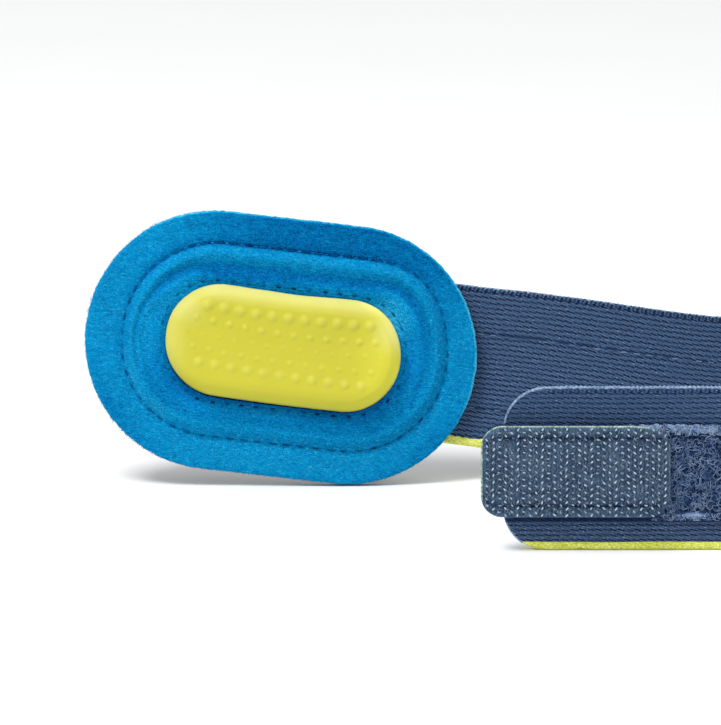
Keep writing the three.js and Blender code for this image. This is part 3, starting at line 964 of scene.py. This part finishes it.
def pad_vectors(turn):
    """Directions along and out of the pad for stitches that run at a turn round the oval."""
    x = -np.sin(turn + PAD_TURN)
    y = np.cos(turn + PAD_TURN)
    along = PAD_ALONG * x[:, None] + PAD_UP * y[:, None]
    return along, np.broadcast_to(-PAD_OUT, along.shape)


def build_pad_seams(seams):
    looks = (
        # thread shown, length and thickness of the thread sunk in the holes, its tone at turns
        ("outer_seam", 0.8, 1.8, 0.16, OUTER_HOLES),
        ("inner_seam", 2.3, 1.0, 0.2, INNER_HOLES),
    )
    for (name, shown, sunk, thick, tones), (holes, threads) in zip(looks, seams):
        rows = (
            (name, threads, shown, 0.15, THREAD, PLAIN_TONE),
            (name + "_holes", holes, sunk, thick, DEEP_THREAD, tones),
        )
        for part, (x, y, turn), length, radius, material, table in rows:
            along, out = pad_vectors(turn)
            height = cover_relief(*round_pad(x, y))[0]
            middle = pad_points(x, y, COVER_FACE + height - 0.1, PAD_TURN)
            tone = by_turn(table, np.degrees(turn) % 360)
            stitches(part, middle, along, out, length, radius, 0.04, material, tone)
    x, y, turn = seams[0][1]
    clear = (x < FAR_END - 2) | (np.abs(y + 1.0) > STRAP_WIDTH / 2 + 1.5)
    along, out = pad_vectors(turn[clear])
    middle = pad_points(x[clear], y[clear], BACK_FACE, PAD_TURN)
    stitches("back_seam", middle, along, -out, 2.0, 0.28, 0.2, NAVY_THREAD)


def build_pad_nap():
    """Longer light fibres that lie on the pad's face."""
    tries = 4600
    u = rng.uniform(-PAD_LENGTH, PAD_LENGTH, tries)
    v = rng.uniform(-PAD_HEIGHT, PAD_HEIGHT, tries)
    clear = (round_pad(u, v)[0] > 0.7) & (beside_pelotte(u, v)[0] > 0.5)
    u, v = u[clear], v[clear]
    heading = rng.normal(0.4, 0.6, len(u))
    length = rng.uniform(0.3, 0.9, (len(u), 1))
    t = np.linspace(-1, 1, 3)
    x, y = strands(u, v, length / 2 * t, 0, heading)
    height = cover_relief(*round_pad(x, y))[0]
    paths = pad_points(x, y, COVER_FACE + height + 0.08 - 0.1 * t ** 2, PAD_TURN)
    # Their tone follows the painted shade of the face beneath them
    tone = np.clip(cover_shade(u, v)[0] + rng.uniform(0.08, 0.34, len(u)), 0, 0.86)
    tubes("pad_nap", paths, 0.07 * MM * (1 - 0.4 * t ** 2), 3, -PAD_OUT, SUEDE, "blue_suede", tone)


def build_pad_fuzz():
    """Loose fibres on the pad's cut edge, longest at its left end."""
    count = 2600
    outline = np.array(oval(PAD_LENGTH, PAD_HEIGHT, 3600))
    centre, nx, ny = outline[:, rng.choice(outline.shape[1], count, replace=False)]
    length = 0.26 + rng.gamma(2.0, 0.12, count) * (0.3 + 0.7 * ease(-nx, 0.1, 0.7))
    length = length[:, None]
    lean = rng.normal(0, 0.9, (count, 1))
    height = rng.uniform(0.3, 1.5, (count, 1))
    rise = rng.normal(0.1, 0.35, (count, 1))
    t = np.linspace(0, 1, 4)
    reach = PAD_HEIGHT + t * length - 0.15
    u, v = strands(centre, 0 * centre, reach, lean * length * t ** 2, np.arctan2(ny, nx))
    paths = pad_points(u, v, COVER_FACE + height + rise * length * t, PAD_TURN)
    paths[..., 2] = np.maximum(paths[..., 2], FLOOR_GAP * MM)
    tone = rng.uniform(0.4, 0.95, count)
    tubes("pad_fuzz", paths, 0.055 * MM * (1 - 0.6 * t), 3, -PAD_OUT, SUEDE, "blue_suede", tone)


def build_pad_back():
    count = 420
    centre, nx, ny = oval(PAD_LENGTH, PAD_HEIGHT, count)
    flat_inset = np.concatenate([[24, 18, 12], np.arange(9, 0.5, -0.5)])
    edge_inset = [0.4, 0.15, 0.02, 0.02, 0.15, 0.4, 8, 20]
    edge_height = [0.03, 0.15, 0.4, 0.85, 1.1, 1.2, 1.2, 1.2]
    inset = np.concatenate([flat_inset, edge_inset])[:, None]
    height = np.concatenate([np.zeros(len(flat_inset)), edge_height])[:, None]
    radius = PAD_HEIGHT - inset
    u = centre + radius * nx
    v = radius * ny + 0 * inset
    weave = 0.5 + 0.5 * np.sin(u * math.tau / BACK_WEAVE) * np.sin(v * math.tau / BACK_WEAVE)
    back = height < 0.2
    turn = turn_of(nx, ny)
    seam = bell(inset, by_turn(OUTER_SEAM, turn), 0.6)
    z = height + back * (0.25 * seam - 0.05 * weave + 0.06)
    crest = np.clip(0.3 + 0.5 * weave - 0.4 * seam, 0, 1)
    cloth = stacked(u, v, z)
    points = pad_points(u, v, BACK_FACE + z, PAD_TURN)
    piece = loft("pad_lining", points, BACKING, "dark_backing", crest=crest, cloth=cloth)
    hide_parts("pad_back")


PELOTTE_RELIEF = [
    # inset, height
    (0.0, 2.2),
    (0.45, 3.3),
    (1.2, 4.3),
    (2.2, 4.95),
    (3.6, 5.2),
    (6.0, 5.0),
    (10.0, 4.75),
    (13.0, 4.7),
]

NUB_ROWS = [
    # across, sag in the middle, fall along it, shift, count, radius, height
    (7.35, 0.8, 0.0, 0.45, 11, 1.4, 0.42),
    (4.0, 1.05, 0.018, 0.28, 12, 0.92, 0.28),
    (0.75, 0.85, 0.015, 0.15, 13, 0.68, 0.13),
    (-2.55, 0.7, 0.022, 0.08, 12, 0.82, 0.18),
    (-5.75, 0.45, 0.022, 0.08, 11, 1.25, 0.33),
]


def build_pelotte():
    count = 460
    centre, nx, ny = oval(PELOTTE_LENGTH, PELOTTE_HEIGHT, count)
    insets = np.concatenate([np.linspace(0.12, 2.0, 12), np.linspace(2.2, PELOTTE_HEIGHT, 44)])
    inset = np.concatenate([[3.0, 1.0, 0.6, 0.35, 0.12, 0.0, 0.0], insets])[:, None]
    lower = np.array([0.0, 0.0, 0.1, 0.4, 0.9, 1.5, 2.0])
    height = np.concatenate([lower, rounded_profile(PELOTTE_RELIEF, insets, 0.35)])[:, None] + 0 * nx
    radius = PELOTTE_HEIGHT - inset
    u = centre + radius * nx
    v = radius * ny
    outer = (radius / PELOTTE_HEIGHT) ** 2
    along, up = pelotte_growth(u, nx, ny)
    u = u + outer * along
    v = v + outer * up
    front = (np.arange(len(inset)) > len(lower))[:, None]
    nubs = np.zeros_like(u)
    for across, sag, fall, shift, number, size, proud in NUB_ROWS:
        places = (np.arange(number) - (number - 1) / 2) * NUB_PITCH
        drop = np.maximum(sag * (1 - (2 * places / PELOTTE_LENGTH / 1.5) ** 2), 0)
        for place, level in zip(places + shift, across - drop - fall * places):
            away = np.hypot(u - place, v - level) / size
            nubs = np.maximum(nubs, proud * (1 - ease(away, 0.15, 1.15)))
    height = height + front * nubs
    # Colour: painted highlights on the nubs' tops and round the upper rim and ends, painted shade along the
    # lower flank and round the base
    crest = 0.5 + 0.2 * nubs - 0.4 * ease(-v, 7, 12)
    lit = (
        0.35 * ease(v - 0.02 * u, 7.5, 12),
        0.15 * ease(-u, 19, 26),
        0.32 * ease(-u, 16, 24) * ease(v, 0, 7),
        0.35 * ease(u, 17, 25) * ease(v, 0, 7),
    )
    crest = np.maximum(crest, 0.5 + np.max(lit, axis=0))
    crest = np.clip(crest - 0.5 * (height < 0.8), 0, 1)
    # Painted light: the right end and its upper edge brightened, the left edge a little, the lower left end
    # a little dimmed, and the outermost edge darkened, most along the bottom
    gain = 1 + 0.2 * ease(u, 14, 25) - 0.04 * ease(-u, 17, 25) * ease(v, -6, 4)
    on_edge = 1 - ease(inset, 0.0, 2.0)
    gain = gain + on_edge * (0.34 * ease(nx + 0.5 * ny, 0.5, 0.95) + 0.1 * ease(-nx, 0.7, 1.0))
    gain = gain * (1 - (1 - ease(inset, 0.0, 0.3)) * (0.1 + 0.4 * ease(-ny, 0.2, 0.8)))
    cloth = stacked(u, v, height)
    base = COVER_FACE + SEAT_HEIGHT + 0.1
    points = pad_points(u + PELOTTE_SHIFT[0], v + PELOTTE_SHIFT[1], base + height)
    piece = loft("silicone_pelotte", points, SILICONE, "lime_silicone", crest=crest, gain=gain, cloth=cloth)
    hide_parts("pelotte")


# Loop tape and hook tab

TAPE_RELIEF = [
    # distance from the edge, height
    (0.0, 0.7),
    (0.7, 1.35),
    (1.4, 1.3),
    (2.2, 0.55),
    (3.0, 1.0),
    (4.0, 1.1),
]


def build_tape():
    end = TAB_END - GAP
    runs = band_runs(TAPE_FAR_END, end, 0.55, TAPE_CORNER)
    width = TAPE_WIDTH
    rim = np.linspace(0, 3.0, 13)
    across = np.concatenate([rim, np.linspace(3.6, width - 3.6, 24), width - rim[::-1]])
    from_edge = np.minimum(across, width - across)
    puff = rounded_profile(TAPE_RELIEF, from_edge, 0.25) * ease(from_edge + 0.25, 0, 0.5)
    rise = np.concatenate([across[::-1], [0.1, 7.0, 14.0, width - 0.1]])
    top = np.concatenate([puff[::-1], np.zeros(4)])
    face = np.concatenate([np.ones(len(across)), np.zeros(4)])
    run = np.broadcast_to(runs[:, None], (len(runs), len(rise)))
    near = np.minimum(rise, width - rise)
    upper = rise > width / 2
    at_rim = near < TAPE_RIM

    phase = run / TAPE_STITCH
    held = wave(phase)
    lumps = noise(run / 1.1, rise / 0.9, 31) - 0.5
    seam = bell(near, TAPE_SEAM, 0.45)
    relief = 0.35 * lumps * (1 - seam) - 0.25 * seam * held + 0.12 * held * at_rim
    offset = np.maximum(TAPE_FACE + top + face * relief, TAPE_FACE)
    cut = corner_cut(end - runs, TAPE_CORNER)[:, None]
    lift = 0.4 + ease(run, STRAP_END - 3, STRAP_END + 0.5)
    squeeze = (width - 2 * cut - lift) / width
    scallop = 0.16 * np.cos(math.tau * phase) * np.exp(-near / 0.6)
    place = TAPE_LOW + lift + cut + rise * squeeze + scallop * np.where(upper, 1, -1)

    # Lighter on the far leg, painted highlight on the rims, strongest on the upper one, and painted shadow
    # on the tape under the tab, except a strip of the upper rim that shows
    shown = 6.0 * (near < 1.2) * upper
    under_tab = ease(run - shown, TAB_START + 1, TAB_START + 6)
    behind = 0.3 * (1 - ease(run, BEND_END - 10, BEND_END))
    light = 0.1 + behind + (0.6 + 0.75 * at_rim) * lumps + (0.5 + 0.42 * upper) * at_rim
    crest = np.clip(face * light - 0.5 * seam - 1.2 * under_tab, 0, 1)
    cloth = stacked(run, place, top)
    points = strap_points(run, place, offset)
    piece = loft("pile_tape", points, PILE_BASE, "navy_pile", crest=crest, cloth=cloth)
    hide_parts("loop_tape")
    cut = (TAPE_WIDTH * MM, (TAB_END - TAPE_FAR_END) * MM)


def build_pile(name, start, end, density, gather=1.0):
    """Wavy filaments that lie in loops over the tape between and outside its two seams."""
    count = int((end - start) * TAPE_WIDTH * density)
    run = start + (end - start) * rng.uniform(0, 1, count) ** gather
    across = rng.uniform(0.2, TAPE_WIDTH - 0.2, count)
    near = np.minimum(across, TAPE_WIDTH - across)
    keep = np.abs(near - TAPE_SEAM) > 0.35
    run, across, near = run[keep], across[keep], near[keep]
    at_rim = near < TAPE_RIM
    count = len(run)
    t = np.linspace(0, 1, 8)
    heading = rng.uniform(0, math.tau, count)
    span = rng.uniform(1.1, 2.3, count) * np.where(at_rim, 0.5, 1.0)
    bow = rng.normal(0, 0.5, (count, 1))
    curl = rng.uniform(0.04, 0.14, (count, 1))
    phase = rng.uniform(0, math.tau, (count, 1))
    forward = (t - 0.5) * span[:, None] + curl * np.cos(3 * math.pi * t + phase)
    sideways = bow * np.sin(math.pi * t) + curl * np.sin(3 * math.pi * t + phase)
    x, y = strands(run, TAPE_LOW + across, forward, sideways, heading)
    y = np.clip(y, TAPE_LOW + 0.3, TAPE_HIGH + 0.3)
    proud = rng.uniform(0, 1, count) < 0.4
    clump = noise(run, across, 33)
    lift = np.where(proud, rng.uniform(0.35, 0.6, count), rng.uniform(0.02, 0.2, count))
    lift = (lift * np.where(at_rim, 0.6, 1.0))[:, None]
    base = TAPE_FACE + np.where(at_rim, 1.2, 0.95)[:, None]
    z = base + lift * np.sin(math.pi * t) ** 0.5 + 0.12 * np.sin(4 * math.pi * t + phase)
    tone = np.where(proud, 0.34 + 0.5 * clump, 0.16 * clump) + rng.normal(0, 0.1, count)
    # Painted highlight on the strands of the rims, strongest on the upper one
    tone = np.clip(tone + 0.35 * at_rim * (0.6 + across / TAPE_WIDTH), 0, 1)
    tubes(name, strap_points(x, y, z), 0.08 * MM, 3, strap_axes(run)[3], PILE, "navy_pile", tone)


def build_tape_seams():
    """Two rows of stitches each on the tape, on the strap's inner face behind it and on the tab."""
    tab_rows = (TAB_LOW + TAB_SEAM, TAB_HIGH - TAB_SEAM - 0.1)
    looks = (
        # name, rows, offset, start, end,
        # share that shows, length, thickness, how proud, thread
        ("tape_seams", TAPE_SEAMS, TAPE_FACE + 0.62, TAPE_FAR_END + 1, TAB_START,
         1, 2.1, 0.2, 0.16, NAVY_THREAD),
        ("inside_seams", TAPE_SEAMS, 0.05 - STRAP_FACE, HIDDEN_END + 3, STRAP_END - 2,
         0.75, 1.5, 0.15, 0.1, PALE_THREAD),
        # The tab's seams: near-black thread that also stands for the shade in their channels
        ("tab_seams", tab_rows, TAB_FACE + 1.0, TAB_START + 1, TAB_END - 4.5,
         1, 2.0, 0.17, 0.12, SHADED_THREAD),
    )
    for name, rises, offset, start, end, share, length, radius, proud, material in looks:
        runs = np.arange(start + TAPE_STITCH / 2, end, TAPE_STITCH)
        run = np.tile(runs, len(rises))
        rise = np.repeat(rises, len(runs))
        if share < 1:
            shows = rng.uniform(0, 1, len(run)) < share
            run, rise = run[shows], rise[shows]
        middle = strap_points(run, rise, offset)
        along, out = strap_axes(run)[1::2]
        stitches(name, middle, along, out * np.sign(offset), length, radius, proud, material)


def tab_cut(run):
    """How far the tab's rounded corners narrow it at runs along it."""
    return corner_cut(np.minimum(run - TAB_START, TAB_END - run), TAB_CORNER)


def build_tab():
    tip = TAB_CORNER * (1 - np.cos(np.linspace(0, math.acos(1 - 1.0 / TAB_CORNER), 7)))
    body = np.arange(TAB_START + 1.2, TAB_END - 1.1, 0.2125)
    runs = np.concatenate([TAB_START + tip, body, TAB_END - tip[::-1]])
    width = TAB_HIGH - TAB_LOW
    rim = np.array([0, 0.12, 0.4])
    front = np.concatenate([rim, np.arange(0.9, width - 0.8, 0.5), width - rim[::-1]])
    rise = np.concatenate([front[::-1], [0.05, width - 0.05]])
    near = np.minimum(rise, width - rise)
    face = np.concatenate([np.ones(len(front)), np.zeros(2)])
    run = np.broadcast_to(runs[:, None], (len(runs), len(rise)))
    from_start = run - TAB_START
    end_near = np.minimum(from_start, TAB_END - run)
    rib = wave(run / TAB_RIB)
    seam = bell(near, TAB_SEAM, 0.5) * (end_near > 1.2)
    held = wave(from_start / TAPE_STITCH)
    top = 1.15 * ease(near + 0.3, 0, 0.7) * ease(end_near + 0.3, 0, 0.6)
    offset = TAB_FACE - 0.1 + face * (top + 0.1 * rib - 0.3 * seam * (0.5 + 0.5 * held))
    slim_low = 0.45 * (1 - ease(from_start, 0.5, 4))
    slim_high = 0.55 * (1 - ease(from_start, 1, 9))
    cut = tab_cut(runs)[:, None]
    place = TAB_LOW + slim_low + cut + rise * (width - 2 * cut - slim_low - slim_high) / width

    ragged = noise(run / 1.3, place / 1.3, 41)
    ground = np.sin(math.tau * run / 0.65) * np.sin(math.tau * place / 0.7 + ragged)
    crest = 0.5 + 0.16 * rib + 0.35 * (ragged - 0.5) + 0.16 * ground - 0.25 * seam
    # Painted highlight along the edges, brightest on the top edge and the end
    on_edge = np.minimum(near, end_near) < 0.3
    lit = ((rise > width - 0.3) & (from_start > 4.5)) | (TAB_END - run < 0.3)
    crest = np.where(on_edge, np.where(lit, 1.0, 0.82), crest) * face
    cloth = stacked(run, place, face)
    points = strap_points(run, place, offset)
    piece = loft("hook_patch", points, HOOK_BASE, "slate_hook", crest=np.clip(crest, 0, 1), cloth=cloth)
    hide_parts("hook_tab")


HOOK_KINDS = np.array([
    # side it leans to, turn, size, tone, thickness, for each of four columns in turn
    (1.0, 0.55, 0.9, 0.97, 0.17),
    (-1.0, 0.75, 0.82, 0.84, 0.16),
    (-1.0, 0.8, 0.86, 0.92, 0.165),
    (-1.0, 1.3, 0.8, 0.8, 0.155),
])


def build_hooks():
    """Nylon hooks in columns across the tab, of four kinds in turn, with a painted highlight on their
    crowns.
    """
    columns = np.arange(TAB_START + 1.1, TAB_END - 0.9, HOOK_COLUMN)
    rows = np.arange(TAB_LOW + 0.6, TAB_HIGH - 0.4, HOOK_ROW)
    column = np.repeat(np.arange(len(columns)), len(rows))
    run = columns[column] + rng.normal(0, 0.07, len(column))
    rise = np.tile(rows, len(columns)) + HOOK_SHIFT * (column % 2) + rng.normal(0, 0.08, len(column))
    cut = tab_cut(run)
    whole = rng.uniform(0, 1, len(run)) > 0.03
    keep = (rise > TAB_LOW + cut + 0.4) & (rise < TAB_HIGH - cut - 0.4) & whole
    run, rise = run[keep], rise[keep]
    lean, turn, size, tone, thickness = HOOK_KINDS[column[keep] % len(HOOK_KINDS)].T
    turn = math.pi / 2 + lean * rng.normal(turn, 0.14)
    size = rng.normal(size, 0.09)[:, None]
    t = np.linspace(0, 1, 9)
    stem = 0.3
    bent = np.maximum(t - stem, 0) / (1 - stem) * math.pi * 1.15
    reach = (1 - np.cos(bent)) / 2
    lift = 0.55 * np.minimum(t / stem, 1) + 0.3 * np.sin(bent)
    x, y = strands(run, rise, size * 0.6 * (reach - 0.5), 0, turn)
    z = TAB_FACE + 0.95 + np.minimum(size, 0.85) * lift
    across = stacked(np.sin(turn), 0, np.cos(turn))
    tone = rng.normal(tone, 0.14)
    # Painted highlight on each hook's crown
    tone = np.clip(tone[:, None] * (0.3 + 0.7 * bell(t, 0.6, 0.22)), 0, 1)
    thickness = thickness[:, None] * MM
    tubes("nylon_hooks", strap_points(x, y, z), thickness, 5, across, HOOKS, "slate_hook", tone)


def build_tab_fibres():
    """Fine nylon fibres that lie between the hooks."""
    count = 1000
    run = rng.uniform(TAB_START + 0.8, TAB_END - 0.8, count)
    rise = rng.uniform(TAB_LOW + 0.7, TAB_HIGH - 0.7, count)
    cut = tab_cut(run)
    clear = (rise > TAB_LOW + cut + 0.7) & (rise < TAB_HIGH - cut - 0.9)
    run, rise = run[clear], rise[clear]
    heading = math.pi / 2 + rng.normal(0, 0.7, len(run))
    length = rng.uniform(0.4, 1.1, (len(run), 1))
    bow = rng.normal(0, 0.2, (len(run), 1))
    t = np.linspace(-1, 1, 5)
    x, y = strands(run, rise, length / 2 * t, bow * (1 - t ** 2), heading)
    paths = strap_points(x, y, TAB_FACE + 1.12 + 0.16 * (1 - t ** 2))
    tone = rng.uniform(0.1, 0.75, len(run))
    tubes("tab_fibres", paths, 0.06 * MM, 3, strap_axes(run)[3], HOOKS, "slate_hook", tone)


# Hidden webbing loop and sewn joint on the pad's back

def build_keeper():
    laid = 0.75
    raised = KEEPER_DEPTH + 0.8
    one_side = np.array([
        # across, depth
        (KEEPER_HALF + 0.5, raised),
        (KEEPER_HALF + 2.6, laid),
        (KEEPER_FOOT, laid),
    ])
    corners = np.concatenate([one_side[::-1] * [-1, 1], one_side])
    step = np.linalg.norm(np.diff(corners, axis=0), axis=1)
    length = np.concatenate([[0], np.cumsum(step)])
    places = np.arange(0, length[-1], 0.3)
    path = stacked(*(np.interp(places, length, column) for column in corners.T))
    for _ in range(12):
        path[1:-1] = path[1:-1] * 0.5 + (path[:-2] + path[2:]) * 0.25
    tangent = unit(np.gradient(path, axis=0))
    normal = stacked(-tangent[:, 1], tangent[:, 0])
    half = KEEPER_WIDTH / 2
    wide = np.concatenate([np.linspace(-half, half, 33), np.linspace(half, -half, 33)])
    face = np.repeat([1.0, -1.0], 33)
    edge = half - np.abs(wide)
    rib = wave(wide / WEBBING_RIB)
    weave = wave(places[:, None] / WEBBING_WEAVE + 0.5 * np.floor(2 * wide / WEBBING_RIB))
    thick = 0.7 * np.sqrt(np.clip(edge / 0.5, 0, 1)) - 0.12 * (1 - rib) - 0.06 * weave
    across = path[:, :1] + normal[:, :1] * face * thick
    depth = path[:, 1:] + normal[:, 1:] * face * thick
    u = KEEPER_SIDE + wide + 0 * across
    points = pad_points(u, across, BACK_FACE - GAP - depth)
    crest = np.clip(0.25 + 0.45 * rib + 0.35 * weave, 0, 1)
    cloth = stacked(places[:, None], u, depth)
    piece = loft("webbing_keeper", points, WEBBING, "navy_webbing", crest=crest, cloth=cloth)
    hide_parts("keeper_loop")
    marks = []
    for foot in (-KEEPER_FOOT + 1.2, -KEEPER_FOOT + 4.6, KEEPER_FOOT - 4.6, KEEPER_FOOT - 1.2):
        for wide_at in np.arange(-half + 1.6, half - 1, 2.2):
            marks.append((KEEPER_SIDE + wide_at, foot))
    marks = np.array(marks)
    middle = pad_points(marks[:, 0], marks[:, 1], BACK_FACE - GAP - 1.42)
    along = np.broadcast_to(PAD_ALONG, middle.shape)
    out = np.broadcast_to(PAD_OUT, middle.shape)
    stitches("keeper_seams", middle, along, out, 1.7, 0.2, 0.14, NAVY_THREAD)


def build_strap_joint():
    """Sewn square that holds the strap's hidden end on the pad's back."""
    marks = []
    end = 27.0
    for rise in (3.2, 31.5):
        marks += [(run, rise, 0) for run in np.arange(FAR_END + 2.5, end - 1, JOINT_STITCH)]
    for run in (FAR_END + 1.6, end):
        marks += [(run, rise, 1) for rise in np.arange(4.6, 31, JOINT_STITCH)]
    # The tape lies over the rest of the square
    tape_top = 28
    marks = np.array([m for m in marks if m[0] <= TAPE_FAR_END - 0.6 or not TAPE_LOW < m[1] < tape_top])
    along, up, out = strap_axes(marks[:, 0])[1:]
    middle = strap_points(marks[:, 0], marks[:, 1], STRAP_FACE - 0.02)
    heading = np.where(marks[:, 2:3] > 0, up, along)
    stitches("joint_seam", middle, heading, out, 1.9, 0.2, 0.12, NAVY_THREAD)


# Stage, light and camera

def build_stage():
    floor_mesh = bpy.data.meshes.new("floor")
    half = 6.0
    corners = [(-half, -half, 0), (half, -half, 0), (half, half, 0), (-half, half, 0)]
    floor_mesh.from_pydata(corners, [], [(0, 1, 2, 3)])
    floor = placed("floor", floor_mesh)
    material, tree, shader = new_material("pale_floor", Roughness=0.9, Specular_IOR_Level=0.1)
    where = node(tree, "ShaderNodeTexCoord").outputs["Object"]
    speck = grain(tree, where, 6.0, 3.0)
    colour = ramp(tree, speck, [(0.0, (0.9, 0.9, 0.895)), (1.0, (0.94, 0.94, 0.935))])
    tree.links.new(colour, shader.inputs["Base Color"])
    floor_mesh.materials.append(material)


def aimed(thing, place, direction):
    thing.location = place
    thing.rotation_mode = "QUATERNION"
    thing.rotation_quaternion = Vector(direction).to_track_quat("-Z", "Y")


def area_light(name, place, aim, size, power):
    data = bpy.data.lights.new(name, "AREA")
    data.shape = "DISK"
    data.size = size
    data.energy = power
    aimed(placed(name, data), place, Vector(aim) - Vector(place))


def build_light():
    world = bpy.data.worlds.new("studio")
    world.use_nodes = True
    back = world.node_tree.nodes["Background"]
    back.inputs["Color"].default_value = (0.96, 0.98, 1.0, 1)
    back.inputs["Strength"].default_value = 0.36
    bpy.context.scene.world = world
    aim = (0.0, 0.0, 0.03)
    area_light("key", (-0.6, -0.55, 1.3), aim, size=0.6, power=15.5)
    area_light("fill", (0.9, -1.0, 0.6), aim, size=0.9, power=4)
    sky = bpy.data.lights.new("top", "SUN")
    sky.energy = 1.3
    sky.angle = math.radians(100)
    placed("top", sky).location = (0, 0, 2)
    settings = bpy.context.scene.view_settings
    settings.view_transform = "Standard"
    settings.look = "None"


PHOTO_WIDTH = 721
PHOTO_HEIGHT = 725
PAD_PIXEL = (281.2, 347.4)
PIXEL = 0.2215
CAMERA_RISE = math.radians(10.25)
CAMERA_DISTANCE = 1650.0
SENSOR = 36.0


def build_camera():
    """Looks along +Y from a little above, with the pad's middle at its pixel of the picture."""
    forward = np.array([0, math.cos(CAMERA_RISE), -math.sin(CAMERA_RISE)])
    up = np.array([0, math.sin(CAMERA_RISE), math.cos(CAMERA_RISE)])
    aim = pad_points(0.0, 0.0, COVER_FACE + RIM_HEIGHT) / MM
    aim[0] += (PHOTO_WIDTH / 2 - PAD_PIXEL[0]) * PIXEL
    aim = aim - up * (PHOTO_HEIGHT / 2 - PAD_PIXEL[1]) * PIXEL
    data = bpy.data.cameras.new("camera")
    data.sensor_width = SENSOR
    data.lens = CAMERA_DISTANCE / PIXEL / max(PHOTO_WIDTH, PHOTO_HEIGHT) * SENSOR
    data.clip_start = 0.05
    data.clip_end = 50.0
    camera = placed("camera", data)
    aimed(camera, (aim - forward * CAMERA_DISTANCE) * MM, forward)
    bpy.context.scene.camera = camera


PILE_START = BEND_END - 8

build_camera()
strap = build_strap()
lime_edge = build_lime_edge()
pad_seams = (seam_marks(OUTER_SEAM, OUTER_STITCH), seam_marks(INNER_SEAM, INNER_STITCH))
build_pad_cover(pad_seams)
build_pad_seams(pad_seams)
build_pad_nap()
build_pad_fuzz()
build_pad_back()
build_pelotte()
build_tape()
build_pile("far_pile", TAPE_FAR_END + 0.5, BEND_START, density=0.7)
build_pile("bend_pile", BEND_START, PILE_START, density=0.8)
build_pile("near_pile", PILE_START, TAB_START + 3.5, density=5.4, gather=0.55)
build_tape_seams()
build_tab()
build_hooks()
build_tab_fibres()
build_keeper()
build_strap_joint()
build_stage()
build_light()
